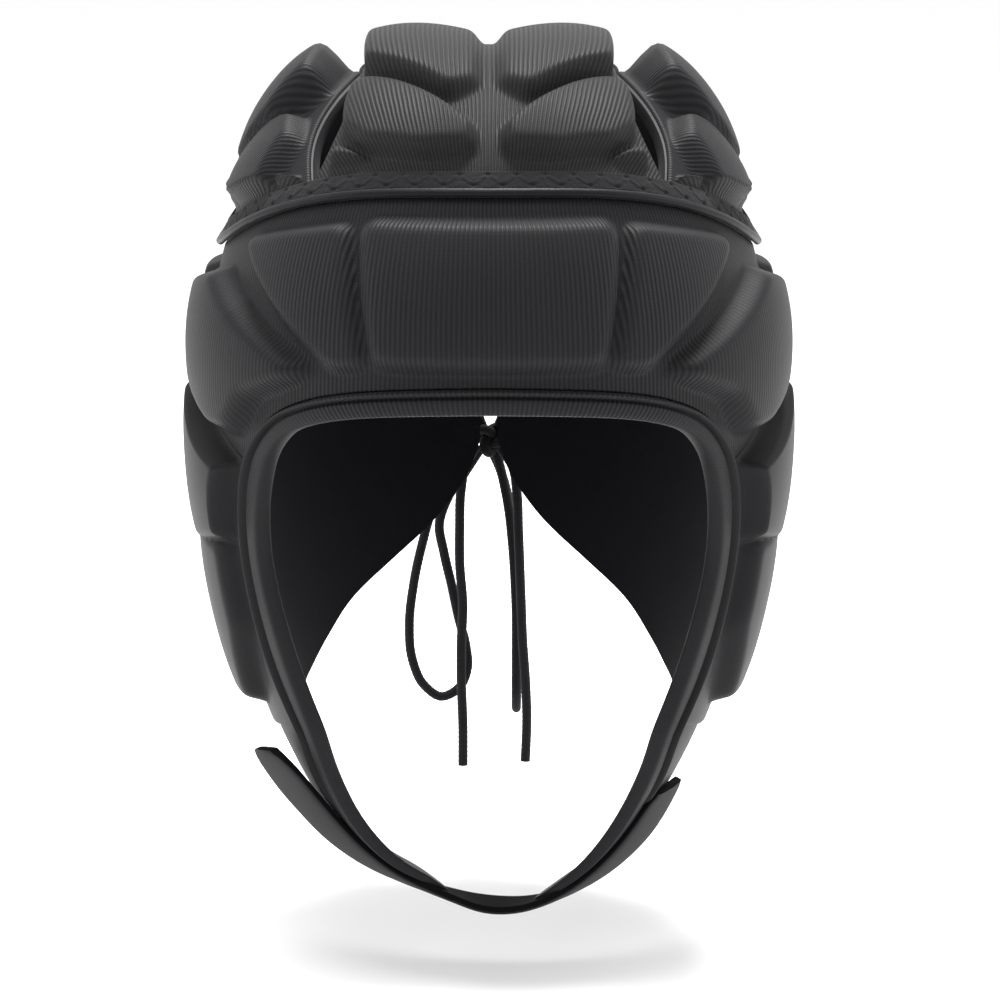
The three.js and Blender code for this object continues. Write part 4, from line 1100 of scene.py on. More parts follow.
@dataclass
class Crown:
    """Three padded strips over the crown, apart at four leaf-shaped slits: the azimuth of the middle
    strip's corner, the rolls of its edge and of the slits, their ends, and the borders."""

    corner: float = 39.5
    strip_angle: float = 22.5
    strip_flare: int = 3
    slit_angle: float = 6.0
    rear_slit_angle: float = 1.0
    slit_end: float = 44.0
    slit_skew: float = 1.5
    slit_gap: float = 0.5
    inset: float = 2.0
    seam: Border = Border(clear=9.6, roll=0.4)
    slit: Border = Border(clear=0.5, roll=1.3)
    end: Border = Border(clear=1.0, roll=0.6)
    fill: float = 0.7

    def corner_position(self) -> Array:
        """Roll and pitch of the middle strip's front corner."""
        return HEAD.crown_position(HEAD.band_place(self.corner, HEAD.seam_level(self.corner)))

    def strip_edge(self, pitch: Array) -> Array:
        """Roll of the middle strip's edge: it flares towards its ends as the cube of the pitch."""
        roll, end = self.corner_position()
        return self.strip_angle + (roll - self.strip_angle) * np.abs(pitch / end) ** self.strip_flare

    def slit_edge(self, pitch: Array) -> Array:
        """Roll of the side strip's inner edge: the middle strip's, plus a skewed half sine."""
        along = np.minimum(np.abs(pitch) / self.slit_end, 1) ** self.slit_skew
        gap = math.degrees(self.slit_gap / HEAD.half_width)
        wide = np.where(pitch > 0, self.slit_angle, self.rear_slit_angle)
        return self.strip_edge(pitch) + wide * np.sin(np.pi * along) + gap

    def centre(self) -> PaddedPanel:
        """Middle strip, from the front seam to the rear one, with its ribs running front to back."""
        s, t = graded(100.0, 0.9), graded(195.0, 0.9)
        azimuth = self.corner * (2 * s - 1)
        level = HEAD.seam_level(azimuth) + SEAM_GAP
        front = HEAD.crown_position(HEAD.band_place(azimuth, level))
        rear = HEAD.crown_position(HEAD.band_place(180 - azimuth, level))
        pitch = self.corner_position()[1] * (1 - 2 * t)
        left = np.stack([-self.strip_edge(pitch), pitch], axis=-1)
        right = np.stack([self.strip_edge(pitch), pitch], axis=-1)
        grid = coons(front, rear, left, right, s, t)
        weave = np.stack([np.interp(grid[..., 0], *ROLL_ARC), np.interp(grid[..., 1], *PITCH_ARC)], axis=-1)
        borders = {"bottom": self.seam, "top": self.seam, "left": self.slit, "right": self.slit}
        return PaddedPanel("crown_centre_pad", CROWN, grid, CENTRE_PADS, weave, borders=borders)

    def outer(self, side: Side) -> PaddedPanel:
        """Side strip, from the slits out to the seam, with its ribs running across it."""
        s, t = graded(52.0, 0.85), graded(125.0, 0.85)
        azimuth = self.corner + self.inset + (180 - 2 * (self.corner + self.inset)) * t
        seam = HEAD.crown_position(HEAD.band_place(azimuth, HEAD.seam_level(azimuth) + SEAM_GAP))
        end = self.corner_position()[1] - self.inset
        pitch = end * (1 - 2 * t)
        inner = np.stack([self.slit_edge(pitch), pitch], axis=-1)
        front = inner[0] + (seam[0] - inner[0]) * s[:, None]
        rear = inner[-1] + (seam[-1] - inner[-1]) * s[:, None]
        grid = coons(front, rear, inner, seam, s, t) * (side.value, 1)
        weave = np.stack([np.interp(grid[..., 1], *PITCH_ARC), np.interp(grid[..., 0], *ROLL_ARC)], axis=-1)
        borders = {"right": self.seam, "left": self.slit, "bottom": self.end, "top": self.end}
        name = f"crown_side_pad_{side.word}"
        return PaddedPanel(name, CROWN, grid, CROWN_SIDE_PADS, weave, side.value, borders)

    def build(self, finishes: Finishes) -> None:
        """Builds and dresses the strips."""
        knit, strips = finishes.covering(finishes.crown), finishes.covering(finishes.strips, finishes.edge)
        dress(self.centre().build(), knit, "padded_knit", "crown_centre", fill=self.fill)
        for side in Side:
            node = f"crown_side_{side.word}"
            dress(self.outer(side).build(), strips, "padded_knit", node, fill=self.fill)


@dataclass
class HeadBand:
    """Brow panel, ear and cheek panels and rear panels, below the crown seam: azimuths and levels of
    the seams and feet, the bends of the temple seam and of the lower edges, and the borders."""

    rear_seam: float = 116.0
    brow_end: float = 3.0
    rear_gap: float = 6.0
    ear_end: float = 200.0
    nape_end: float = 133.4
    temple_bend: tuple[tuple[float, float], ...] = ((0, 0), (0.32, 8.5), (0.6, 8), (1, 1.6))
    ear_foot: tuple[tuple[float, float], ...] = ((57, 4.6), (74, 1), (95, 0))
    nape_foot: tuple[tuple[float, float], ...] = (
        (0, 1), (0.17, 0.95), (0.34, 0.86), (0.5, 0.73), (0.68, 0.58), (0.84, 0.4), (0.95, 0.19), (1, 0),
    )
    seam: Border = Border(clear=2.2, roll=0.4)
    rim: Border = Border(clear=1.2, roll=0.3)
    join: Border = Border(clear=0.8, roll=1.0)
    free: Border = Border(clear=2.5, roll=2.2)
    fill: float = 0.8
    tail_fill: float = 0.4
    line_steps: int = 800

    def ribs(self, grid: Array) -> Array:
        """Weave map of a panel round the head, with its ribs upright."""
        return np.stack([np.interp(grid[..., 0], *BAND_ARC), grid[..., 1]], axis=-1)

    def temple(self, shares: Array) -> Array:
        """Band positions of the seam between brow and side panel, from the rim up to the crown seam."""
        start = RIM.at(np.array([RIM.temple_share]), RIM.panel_edge)[0]
        end = np.array([self.rear_seam, HEAD.seam_level(self.rear_seam)])
        points = [start + (end - start) * share - (0, sag) for share, sag in self.temple_bend]
        return spline(points, shares)

    def lower_brow(self, azimuth: Array) -> Array:
        """Lowest level of the brow panel: on the rim in front, and on the temple seam beside it."""
        shares = np.linspace(0, 1, self.line_steps)
        on_rim = RIM.at(0.5 + (RIM.temple_share - 0.5) * shares, RIM.panel_edge)
        on_seam = self.temple(shares)[1:] + (0, SEAM_GAP)
        line = np.vstack([on_rim, on_seam])
        return np.interp(np.abs(azimuth), line[:, 0], line[:, 1])

    def brow(self) -> PaddedPanel:
        """Brow panel, from the rim and temple seams up to the crown seam."""
        s, t = graded(350.0, 0.95), graded(56.0, 0.8)
        azimuth = (self.rear_seam - self.brow_end) * (2 * s - 1)
        lower, upper = self.lower_brow(azimuth), HEAD.seam_level(azimuth) - SEAM_GAP
        level = lower[None] + (upper - lower)[None] * t[:, None]
        grid = np.stack([np.broadcast_to(azimuth, level.shape), level], axis=-1)
        borders = {"top": self.seam, "bottom": self.rim, "left": self.join, "right": self.join}
        return PaddedPanel("brow_pad", BAND, grid, BROW_PADS, self.ribs(grid), borders=borders)

    def cheek(self, side: Side) -> PaddedPanel:
        """Ear and cheek panel, from the rim back to the rear seam."""
        s, t = graded(118.0, 1.0), graded(125.0, 1.0)
        rim = RIM.at(1 + (RIM.temple_share - 1) * t, RIM.panel_edge)
        seam = self.rear_seam - math.degrees(SEAM_GAP / HEAD.half_width)
        feet = [(azimuth, rise - self.ear_end) for azimuth, rise in self.ear_foot]
        foot = spline([rim[0], *feet, (self.rear_seam, -self.ear_end)], s)
        top = self.temple(s) - (0, SEAM_GAP)
        foot[:, 0], top[:, 0] = np.minimum(foot[:, 0], seam), np.minimum(top[:, 0], seam)
        rear = np.stack([np.full_like(t, seam), foot[-1, 1] + (top[-1, 1] - foot[-1, 1]) * t], axis=-1)
        grid = coons(foot, top, rim, rear, s, t) * (side.value, 1)
        borders = {"left": self.rim, "top": self.join, "right": self.join, "bottom": self.free}
        name = f"cheek_pad_{side.word}"
        return PaddedPanel(name, BAND, grid, SIDE_PADS, self.ribs(grid), side.value, borders)

    def rear(self, side: Side, holes: Sequence[Spot]) -> PaddedPanel:
        """Rear panel, from the side panel to the gap at the centre back.

        Args:
            side: Side of the head.
            holes: Band positions of the eyelets.

        Returns:
            The panel.
        """
        s, t = graded(105.0, 0.95), graded(150.0, 0.95)
        start = self.rear_seam + math.degrees(SEAM_GAP / HEAD.half_width)
        end = 180 - math.degrees(self.rear_gap / 2 / HEAD.back)
        drop = self.ear_end - self.nape_end
        feet = [(start + (end - start) * share, -self.nape_end - drop * down) for share, down in self.nape_foot]
        foot = spline(feet, s)
        azimuth = start + (end - start) * s
        top = np.stack([azimuth, HEAD.seam_level(azimuth) - SEAM_GAP], axis=-1)
        left = foot[0] + (top[0] - foot[0]) * t[:, None]
        right = foot[-1] + (top[-1] - foot[-1]) * t[:, None]
        grid = coons(foot, top, left, right, s, t) * (side.value, 1)
        borders = {"left": self.join, "top": self.seam, "right": self.free, "bottom": self.free}
        name = f"rear_pad_{side.word}"
        return PaddedPanel(name, BAND, grid, REAR_PADS, self.ribs(grid), side.value, borders, holes)

    def build(self, finishes: Finishes, lace: "NapeLace", tails: "Tails") -> None:
        """Builds and dresses the panels and the tails.

        Args:
            finishes: Materials of the helmet.
            lace: Lace whose eyelets pierce the rear panels.
            tails: Tails below the side panels.
        """
        knit, side_knit = finishes.covering(finishes.brow), finishes.covering(finishes.side)
        dress(self.brow().build(), knit, "padded_knit", "brow_panel", fill=self.fill)
        for side in Side:
            side_panel, rear_panel = f"side_panel_{side.word}", f"rear_panel_{side.word}"
            dress(self.cheek(side).build(), side_knit, "padded_knit", side_panel, fill=self.fill)
            dress(tails.build(side), (finishes.side,), "padded_knit", fill=self.tail_fill)
            rear = self.rear(side, lace.holes(side)).build()
            dress(rear, side_knit, "padded_knit", rear_panel, fill=self.fill)


@dataclass
class Tails:
    """Tails below the cheeks: angle up from the chin, depths of edge, bead and rear as shares of the
    front reach, thickness, and how far the tail on the free side is tucked in."""

    rows: tuple[tuple[float, ...], ...] = (
        (47, 0.67, 0.6, 0.385, 4.6, 0),
        (38, 0.652, 0.58, 0.385, 4.2, 0),
        (28, 0.638, 0.57, 0.39, 3.4, -1.2),
        (19, 0.625, 0.565, 0.41, 2.5, -3),
        (11, 0.585, 0.55, 0.46, 1.8, -3.2),
    )
    wall: float = WALL
    lap: float = 3.0
    point: float = 9.0
    blunt: float = 0.04
    rings: int = 160
    sides: int = 40
    flatness: float = 0.35
    fullness: float = 0.5
    height: float = 0.94
    curve_steps: int = 300

    def table(self, side: Side) -> Array:
        """Rows of angle, edge, bead, rear, thickness and tuck, with depths in millimetres."""
        bead, edge = (
            HEAD.chin_position(HEAD.band_place(*RIM.curve(column, np.array([1.0]))[0])) for column in (0, 2)
        )
        rear = -self.rows[0][3] * HEAD.front
        root = ((bead[0] + edge[0]) / 2, edge[1], bead[1], rear, self.wall, 0)
        rows = np.array(self.rows)
        rows[:, 1:4] *= -HEAD.front
        rows[:, 5] *= side is Side.RIGHT
        return np.vstack([root, rows])

    def value(self, side: Side, column: int, angle: Array) -> Array:
        """One column at angles from the chin, on the smooth curve through the rows."""
        curve = spline(self.table(side)[::-1], np.linspace(0, 1, self.curve_steps))
        return np.interp(angle, curve[:, 0], curve[:, column])

    def tip(self, angle: Array) -> Array:
        """Share of the full width left near the tip: a quarter circle over the last degrees."""
        near = np.clip(1 - (angle - self.rows[-1][0]) / self.point, 0, 1)
        return np.maximum(np.sqrt(1 - near**2), self.blunt)

    def tapered(self, side: Side, still: int, moving: int, angle: Array) -> tuple[Array, ...]:
        """Section of a tail at angles from the chin, narrowed and thinned towards its tip.

        Args:
            side: Side of the head.
            still: Column of the depth that keeps its place.
            moving: Column of the depth that draws in towards it.
            angle: Angles from the chin.

        Returns:
            Both depths, the thickness and the tuck.
        """
        kept, drawn, thick, tuck = (self.value(side, column, angle) for column in (still, moving, 4, 5))
        left = self.tip(angle)
        return kept, kept + (drawn - kept) * left, thick * left, tuck + thick * (1 - left)

    def build(self, side: Side) -> bpy.types.Object:
        """Tail behind its binding: a flat superellipse section carried down the angle."""
        angle = np.linspace(self.table(side)[0, 0] + self.lap, self.rows[-1][0], self.rings)
        front, rear, thick, tuck = self.tapered(side, 2, 3, angle)
        turn = turns(self.sides)
        across = squared(np.cos(turn), self.flatness)
        up = 0.5 + 0.5 * squared(np.sin(turn), self.fullness)
        depth = ((front + rear) / 2)[:, None] + ((rear - front) / 2)[:, None] * across[None]
        lift = (thick * self.height)[:, None] * up[None] + tuck[:, None]
        angles = np.broadcast_to(side.value * angle[:, None], depth.shape)
        rings = CHIN.lifted(angles, depth, lift)
        weave = np.stack([depth, angles * HEAD.chin_drop * math.pi / 180], axis=-1)
        return tube(f"tail_{side.word}", rings, weave)


@dataclass
class SeamTrim:
    """Stitched tape over the crown seam, and the piping below it."""

    base: float = 5.3
    piping_radius: float = 1.3
    tape_width: float = 5.0
    tape_thick: float = 1.0
    step: float = 0.55
    stitch_pitch: float = 8.0
    thread: float = 0.3
    thread_height: float = 0.25

    def stations(self) -> tuple[Array, Array, Array]:
        """Azimuths evenly spaced round the seam, their running distance, and the seam's slope up."""
        azimuth = np.linspace(-180, 180, 4001)
        places = BAND.place(azimuth, HEAD.seam_level(azimuth))
        run = run_length(places)
        count = int(run[-1] / self.step)
        even = np.interp(np.linspace(0, run[-1], count, endpoint=False), run, azimuth)
        slope = np.linalg.norm(BAND.slopes(even, HEAD.seam_level(even))[1], axis=-1)
        return even, np.linspace(0, run[-1], count, endpoint=False), slope

    def carried(self, up: Array, lift: Array) -> Array:
        """Points at distances up from the seam and lifts off the head, round the whole seam."""
        azimuth, _, slope = self.stations()
        level = HEAD.seam_level(azimuth)[:, None] + up / slope[:, None]
        return BAND.lifted(np.broadcast_to(azimuth[:, None], level.shape), level, lift)

    def tape(self) -> bpy.types.Object:
        """Flat tape whose top face carries a zigzag thread: a ridge of Gaussian section about a
        triangle wave, with a dimple where each stitch turns."""
        azimuth, run, _ = self.stations()
        start = self.piping_radius + SEAM_GAP
        top = np.linspace(0.1, self.tape_width - 0.1, 22)
        shape_up = np.concatenate([top, [self.tape_width, self.tape_width, 0, 0]])
        shape_lift = np.concatenate([np.full(22, self.tape_thick), [0.7, 0, 0, 0.7]])
        pitch = run[-1] / round(run[-1] / self.stitch_pitch)
        phase = (run[:, None] / pitch) % 1
        wave = 4 * np.abs(phase - 0.5) - 1
        amplitude = 0.3 * self.tape_width
        centre = self.tape_width / 2 + amplitude * wave
        steepness = 4 * amplitude / pitch
        gap = (shape_up[None] - centre) / math.sqrt(1 + steepness**2)
        ridge = self.thread_height * np.exp(-((gap / self.thread) ** 2))
        turning = np.minimum(phase, 1 - phase)
        for place, distance in ((1, turning), (-1, np.abs(phase - 0.5))):
            spot = np.hypot(distance * pitch, shape_up[None] - self.tape_width / 2 - place * amplitude)
            ridge = ridge - 0.75 * np.exp(-((spot / 0.55) ** 2))
        weaveline = 0.05 * np.sin(2 * np.pi * run[:, None] / 1.1) * np.sin(2 * np.pi * shape_up[None] / 0.9)
        on_top = (shape_lift == self.tape_thick)[None]
        lift = self.base + shape_lift[None] + np.where(on_top, ridge + weaveline, 0)
        up = np.broadcast_to(start + shape_up[None], lift.shape)
        return tube("seam_tape", self.carried(up, lift), closed=True)

    def piping(self) -> bpy.types.Object:
        """Round piping, with a faint twist of the cover: a cosine of turn plus distance."""
        _, run, _ = self.stations()
        turn = turns(16)
        radius = self.piping_radius * (1 + 0.012 * np.cos(2 * turn[None] + 2 * np.pi * run[:, None] / 9))
        up = radius * np.cos(turn)[None]
        lift = self.base + self.piping_radius + radius * np.sin(turn)[None]
        return tube("crown_piping_cord", self.carried(up, lift), closed=True)

    def build(self, finishes: Finishes) -> None:
        """Builds and dresses both trims."""
        dress(self.tape(), (finishes.tape,), "trim_knit", "crown_seam_tape")
        dress(self.piping(), (finishes.piping,), "trim_knit", "crown_piping")


@dataclass
class FaceBinding:
    """Bead and flat ribbed binding round the face opening and down both tails."""

    tails: Tails
    wall: float = WALL
    spacing: float = 0.8
    section: tuple[tuple[float, float], ...] = (
        (0.5, 0.0), (0.2, 0.0), (0.06, 0.03), (-0.01, 0.3), (-0.02, 0.62), (0.03, 0.9), (0.12, 1.03),
        (0.3, 1.08), (0.5, 1.08), (0.62, 1.04), (0.69, 0.9), (0.73, 0.86), (0.77, 0.98), (0.82, 1.22),
        (0.88, 1.33), (0.94, 1.27), (0.985, 1.05), (1.0, 0.7), (1.0, 0.25), (0.96, 0.02), (0.8, 0.0),
    )

    def line(self) -> Array:
        """Stations along the binding, from the tip of the right tail over the brow to the left one:
        edge, bead, outward normals at both, thickness, tuck and how flat the bead is."""
        parts = []
        shares = np.linspace(0.0, 1.0, 61)
        edge, bead = RIM.at(shares, 0.0), RIM.at(shares, 1.0)
        rim = np.hstack([
            BAND.place(edge[:, 0], edge[:, 1]), BAND.place(bead[:, 0], bead[:, 1]),
            BAND.outward(edge[:, 0], edge[:, 1]), BAND.outward(bead[:, 0], bead[:, 1]),
            np.tile([self.wall, 0.0, 0.0], (len(shares), 1)),
        ])
        for side in (Side.RIGHT, Side.LEFT):
            angle = np.linspace(self.tails.table(side)[1, 0] - 1, self.tails.rows[-1][0], 40)
            back, front, thick, tuck = self.tails.tapered(side, 2, 1, angle)
            flat = smoothstep(46, 36, angle)
            turned = side.value * angle
            tail = np.hstack([
                CHIN.place(turned, front), CHIN.place(turned, back),
                CHIN.outward(turned, front), CHIN.outward(turned, back),
                np.stack([thick, tuck, flat], axis=-1),
            ])
            parts.append(tail)
        return even_path(np.vstack([parts[0][::-1], rim, parts[1]]), self.spacing)

    def build(self, finishes: Finishes) -> None:
        """Builds the binding: a smooth closed section between edge and bead, lifted by its thickness."""
        line = self.line()
        edge, bead = line[:, None, 0:3], line[:, None, 3:6]
        closed = [*self.section, self.section[0]]
        shape = spline(closed, np.linspace(0, 1, 48, endpoint=False))
        across, height = shape[None, :, 0:1], shape[None, :, 1:2]
        outward = unit(line[:, None, 6:9] * (1 - across) + line[:, None, 9:12] * across)
        thick, tuck, flat = (line[:, None, k:k + 1] for k in (12, 13, 14))
        height = height * (1 - flat) + np.minimum(height, 1.0) * flat
        rings = edge + (bead - edge) * across + outward * (height * thick + tuck)
        run = np.arange(len(line))[:, None] * self.spacing
        width = np.broadcast_to(8 * shape[None, :, 0], (len(line), len(shape)))
        weave = np.stack([np.broadcast_to(run, width.shape), width], axis=-1)
        piece = tube("face_rim", rings, weave)
        dress(piece, (finishes.trim,), "trim_knit", "face_binding")


@dataclass
class ChinStrap:
    """Strap sewn to the left tail and closing on the outside of the right one with a free end: angle
    from the chin, lift off the tail, how much further the rear edge stands off, and the depths of both
    edges as shares of the front reach."""

    tails: Tails
    rows: tuple[tuple[float, ...], ...] = (
        (-50, 5.6, 2.5, 0.53, 0.47),
        (-49.2, 5.3, 3, 0.575, 0.41),
        (-47, 4.2, 4, 0.605, 0.365),
        (-43, 2.2, 5, 0.605, 0.35),
        (-38, 0.7, 5.2, 0.605, 0.35),
        (-31, 0.1, 5, 0.61, 0.355),
        (-21, 0, 3.5, 0.62, 0.365),
        (-10, 0, 1.2, 0.635, 0.38),
        (0, 0, 0, 0.64, 0.39),
        (10, 0, 1.2, 0.635, 0.38),
        (21, 0, 3.2, 0.62, 0.36),
        (32, 0, 3.5, 0.61, 0.345),
        (40, 0, 1.8, 0.605, 0.34),
        (42.5, 0, 1, 0.58, 0.37),
    )
    thick: float = 2.5
    even: float = 12.0
    press: float = 0.6

    def build(self, finishes: Finishes) -> None:
        """Builds the strap: a flat section with round edges, carried over the tails and the chin."""
        angle, lift, splay, front, rear = spline(self.rows, np.linspace(0, 1, 420)).T
        base = np.zeros_like(angle)
        for side in Side:
            here = np.sign(angle) == side.value
            size = np.abs(angle)
            carried = self.tails.value(side, 4, size) + self.tails.value(side, 5, size)
            ease = smoothstep(0, self.tails.rows[-1][0], size)
            base = np.where(here, (carried - self.press) * ease, base)
        base = blur_matrix(len(base), self.even) @ base + lift
        turn = turns(64)
        across = squared(np.cos(turn), 0.16)
        up = 0.5 + 0.5 * squared(np.sin(turn), 0.45)
        ahead, behind = -front * HEAD.front, -rear * HEAD.front
        depth = ((ahead + behind) / 2)[:, None] + ((behind - ahead) / 2)[:, None] * across[None]
        height = base[:, None] + self.thick * up[None] + splay[:, None] * (across[None] + 1) / 2
        angles = np.broadcast_to(angle[:, None], depth.shape)
        rings = CHIN.lifted(np.where(angles == 0, 1e-6, angles), depth, height)
        weave = np.stack([depth, angles * HEAD.chin_drop * math.pi / 180], axis=-1)
        piece = tube("strap_band", rings, weave)
        # The second finish is the loop tape, made near black as painted shade on the strap's inward faces.
        dress(piece, (finishes.strap, finishes.loop), "strap_cloth", "chin_strap")
        self.loop_and_shade_inside(piece)

    def loop_and_shade_inside(self, piece: bpy.types.Object) -> None:
        """Gives the faces that look in at the head the loop finish: loop tape, made near black as painted shade
        under the helmet.
        """
        count = len(piece.data.polygons)
        normals = np.empty(count * 3)
        centres = np.empty(count * 3)
        piece.data.polygons.foreach_get("normal", normals)
        piece.data.polygons.foreach_get("center", centres)
        heart = np.array([0.0, np.median(centres[1::3]), HEAD.widest * MM])
        inward = np.sum(normals.reshape(-1, 3) * (centres.reshape(-1, 3) - heart), axis=1) < 0
        piece.data.polygons.foreach_set("material_index", inward.astype(np.int32))


@dataclass
class NapeLace:
    """Lace through three pairs of eyelets beside the gap at the centre back, tied in a bow."""

    radius: float = 1.6
    levels: tuple[float, ...] = (72.0, 96.0, 120.0)
    inset: float = 10.0
    wall: float = WALL
    seat: float = 1.2
    hole: float = 2.7
    barrel: float = 3.5
    flange: float = 5.0
    metal: float = 1.0
    knot: tuple[float, float, float] = (0.5, 110.5, -135.0)
    knot_size: float = 1.75
    routes: dict[str, tuple[tuple[float, float, float], ...]] = field(default_factory=lambda: {
        "lace_loop_right": (
            (-0.003, 0.112, -0.139), (-0.008, 0.113, -0.147), (-0.014, 0.113, -0.156), (-0.017, 0.112, -0.165),
            (-0.0155, 0.112, -0.175), (-0.013, 0.112, -0.186), (-0.0105, 0.112, -0.198), (-0.008, 0.112, -0.208),
            (-0.0075, 0.112, -0.216), (-0.0105, 0.112, -0.223), (-0.0165, 0.112, -0.226),
            (-0.0225, 0.1125, -0.222), (-0.0265, 0.113, -0.213), (-0.0275, 0.114, -0.201),
            (-0.026, 0.115, -0.187), (-0.023, 0.1165, -0.173), (-0.019, 0.1175, -0.160),
            (-0.012, 0.1175, -0.149), (-0.004, 0.115, -0.141),
        ),
        "lace_tail_right": (
            (-0.0038, 0.1078, -0.1368), (-0.0075, 0.107, -0.1425), (-0.0095, 0.1065, -0.152),
            (-0.010, 0.1065, -0.165), (-0.010, 0.1065, -0.178), (-0.009, 0.1065, -0.192),
            (-0.0095, 0.1065, -0.206), (-0.0095, 0.1065, -0.220), (-0.009, 0.1065, -0.235),
            (-0.009, 0.1065, -0.249),
        ),
        "lace_loop_left": (
            (0.0025, 0.112, -0.140), (0.0045, 0.111, -0.148), (0.0065, 0.1105, -0.158), (0.008, 0.1105, -0.171),
            (0.009, 0.1105, -0.186), (0.0095, 0.1105, -0.201), (0.0095, 0.1105, -0.215),
            (0.0095, 0.1115, -0.225), (0.0095, 0.1175, -0.2315), (0.0095, 0.1235, -0.225),
            (0.0095, 0.1245, -0.215), (0.0095, 0.124, -0.201), (0.009, 0.123, -0.186),
            (0.008, 0.1215, -0.171), (0.0065, 0.1195, -0.157), (0.0035, 0.116, -0.146), (0.001, 0.114, -0.140),
        ),
        "lace_tail_left": (
            (0.004, 0.108, -0.138), (0.008, 0.1055, -0.144), (0.0095, 0.1045, -0.153), (0.010, 0.1045, -0.165),
            (0.0105, 0.1045, -0.178), (0.011, 0.1045, -0.191), (0.0115, 0.1045, -0.204),
            (0.0125, 0.1045, -0.218), (0.013, 0.1045, -0.233), (0.0125, 0.1045, -0.247),
        ),
    })

    def azimuth(self, side: Side) -> float:
        """Azimuth of the eyelets on one side."""
        return side.value * (180 - math.degrees(self.inset / HEAD.back))

    def holes(self, side: Side) -> list[tuple[float, float]]:
        """Band positions of the eyelets on one side."""
        return [(self.azimuth(side), -level) for level in self.levels]

    def seat_at(self, side: Side, level: float, lifts: Sequence[float]) -> list[Array]:
        """Points on an eyelet's axis at lifts off the head."""
        azimuth = np.array(self.azimuth(side))
        centre, axis = BAND.place(azimuth, -level), BAND.outward(azimuth, np.array(-level))
        return [centre + axis * lift for lift in lifts]

    def laced_route(self) -> Array:
        """Points of the held stretch, from the knot through the eyelets and back."""
        clear = self.seat + self.metal + self.radius + SEAM_GAP
        over, under = self.wall + clear, -clear
        high, mid, low = self.levels
        inward = [over - 1, self.wall / 2, under + 1]
        outward = inward[::-1]
        knot = np.array(self.knot)
        left, right = Side.LEFT, Side.RIGHT
        back_y = self.seat_at(left, low, [over])[0][1] + 2.5

        def crossing(level: float, lift: float) -> Array:
            """Point at the centre back."""
            return BAND.lifted(np.array(180.0), np.array(-level), lift)

        def beside(side: Side, level: float) -> Array:
            """Point inside the wall between two eyelets of one side."""
            return self.seat_at(side, level, [under])[0]

        return np.array([
            knot + (2.5, -0.5, 3.9),
            (5, back_y, -(low + 6.5)),
            *self.seat_at(left, low, inward),
            beside(left, (low + mid) / 2),
            *self.seat_at(left, mid, outward),
            crossing((high + mid) / 2, over),
            *self.seat_at(right, high, inward),
            crossing(high, under),
            *self.seat_at(left, high, outward),
            crossing((high + mid) / 2, over + 2.6 * self.radius),
            *self.seat_at(right, mid, inward),
            beside(right, (low + mid) / 2),
            *self.seat_at(right, low, outward),
            (-4, back_y, -(low + 6.5)),
            knot + (-2.5, -0.5, 3.9),
        ])

    def free_cord(self, node: str, finish: bpy.types.Material) -> None:
        """Args:
            node: Node that it stands for.
            finish: Material of the cord.
        """
        route = np.array(self.routes[node]) / MM
        path = even_path(route, CORD_STEP)
        piece = braided(node.replace("lace", "bow"), path, self.radius)
        dress(piece, (finish,), "lace_cord", node)

    def knot_piece(self) -> bpy.types.Object:
        """Overhand knot: the trefoil curve sin t + 2 sin 2t, cos t - 2 cos 2t, -sin 3t."""
        t = np.linspace(0, 2 * np.pi, 220)
        across, up = np.sin(t) + 2 * np.sin(2 * t), np.cos(t) - 2 * np.cos(2 * t)
        curve = np.stack([across, -np.sin(3 * t) * 1.25, up], axis=-1)
        path = curve[:-1] * self.knot_size * (0.9, 1.0, 0.95) + self.knot
        return braided("bow_knot", path, self.radius)

    def eyelet(self, side: Side, level: float) -> Array:
        """Rings of an eyelet: a round profile of barrel and rolled flanges turned about its axis."""
        low, high = -self.seat, self.wall + self.seat
        half = self.metal / 2
        profile = [
            (self.hole, low - half), (self.hole + 0.4, low - self.metal),
            (self.flange - 0.5, low - self.metal), (self.flange, low - half),
            (self.flange - 0.1, low), (self.barrel, low), (self.barrel, high), (self.flange - 0.1, high),
            (self.flange, high + half), (self.flange - 0.5, high + self.metal),
            (self.hole + 0.4, high + self.metal), (self.hole, high + half),
        ]
        radius, height = np.array(profile).T
        centre, above = self.seat_at(side, level, [0.0, 1.0])
        axis = above - centre
        first = unit(np.cross(axis, (0.0, 0.0, 1.0)))
        second = np.cross(axis, first)
        turn = turns(48)
        spoke = np.cos(turn)[:, None, None] * first + np.sin(turn)[:, None, None] * second
        return centre + spoke * radius[None, :, None] + axis * height[None, :, None]

    def build(self, finishes: Finishes) -> None:
        """Builds and dresses the free cords first, then the held lace, the knot and the eyelets."""
        for node in self.routes:
            self.free_cord(node, finishes.cord)
        lace = braided("nape_lace", even_path(self.laced_route(), CORD_STEP), self.radius)
        dress(lace, (finishes.cord,), "lace_cord", "back_lace")
        dress(self.knot_piece(), (finishes.cord,), "lace_cord", "lace_knot")
        for side in Side:
            for number, level in enumerate(self.levels, 1):
                rings = self.eyelet(side, level)
                piece = tube(f"eyelet_{side.word}_{number}", rings, closed=True)
                dress(piece, (finishes.eyelet,), "eyelet_metal", f"lace_eyelet_{side.word}_{number}")


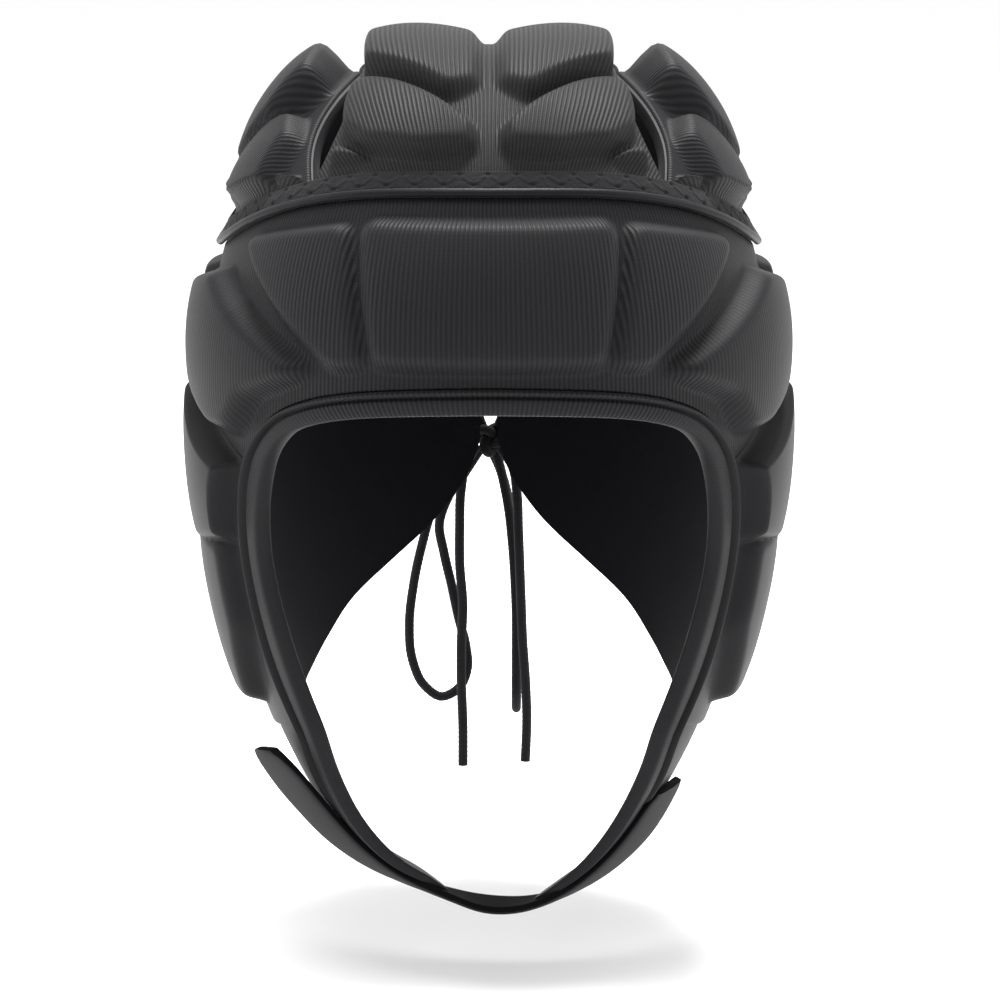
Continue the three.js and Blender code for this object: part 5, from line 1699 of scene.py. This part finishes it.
@dataclass
class Studio:
    """Camera at the photograph's view, pale floor and soft lights."""

    lens: float = 127.7
    sensor: float = 36.0
    distance: float = 1.1
    elevation: float = 11.0
    target: tuple[float, float, float] = (0.0, 0.0, -0.135)
    shift: float = 0.011
    floor: float = -0.276
    floor_half: float = 12.0
    lights: tuple[tuple[str, tuple[float, float, float], float, float], ...] = (
        ("key", (-0.3, -0.7, 1.35), 0.6, 10.0),
        ("top", (0.1, 0.35, 1.2), 0.5, 34.0),
        ("left", (-1.4, -0.1, 0.35), 0.6, 6.0),
        ("right", (1.4, -0.1, 0.35), 0.6, 5.0),
    )

    def aimed(self, thing: bpy.types.Object, place: Sequence[float]) -> None:
        """Puts a camera or light at a place, looking at the target."""
        thing.location = place
        thing.rotation_euler = (Vector(self.target) - Vector(place)).to_track_quat("-Z", "Y").to_euler()
        bpy.context.scene.collection.objects.link(thing)

    def build(self) -> None:
        """Builds the camera, the floor, the world and the lights."""
        tilt = math.radians(self.elevation)
        camera = bpy.data.cameras.new("camera")
        camera.lens, camera.sensor_width, camera.shift_x = self.lens, self.sensor, self.shift
        seen = bpy.data.objects.new("camera", camera)
        back, up = self.distance * math.cos(tilt), self.distance * math.sin(tilt)
        self.aimed(seen, (self.target[0], self.target[1] - back, self.target[2] + up))
        bpy.context.scene.camera = seen
        bpy.context.scene.view_settings.view_transform = "Standard"
        half, level = self.floor_half / MM, self.floor / MM
        corners = [(-half, -half, level), (half, -half, level), (half, half, level), (-half, half, level)]
        floor = new_object("floor", np.array(corners), np.array([[0, 1, 2, 3]]))
        pale = Nodes("pale_floor")
        pale.shade(Base_Color=(0.97, 0.97, 0.97, 1), Roughness=0.9, Specular_IOR_Level=0.1)
        floor.data.materials.append(pale.material)
        world = bpy.data.worlds.new("studio")
        world.use_nodes = True
        world.node_tree.nodes["Background"].inputs[0].default_value = (1, 1, 1, 1)
        world.node_tree.nodes["Background"].inputs[1].default_value = 1.02
        bpy.context.scene.world = world
        for name, place, size, power in self.lights:
            light = bpy.data.lights.new(name, "AREA")
            light.energy, light.size = power, size
            self.aimed(bpy.data.objects.new(name, light), place)


def main() -> None:
    """Builds the helmet, the studio and the camera, and reports each piece."""
    logging.basicConfig(level=logging.INFO, format="%(name)s %(message)s")
    finishes = Finishes()
    Studio().build()
    tails = Tails()
    lace = NapeLace()
    lace.build(finishes)
    Crown().build(finishes)
    HeadBand().build(finishes, lace, tails)
    SeamTrim().build(finishes)
    FaceBinding(tails).build(finishes)
    ChinStrap(tails).build(finishes)
    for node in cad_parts:
        LOG.info("node %s", node)


if __name__ == "__main__":
    main()
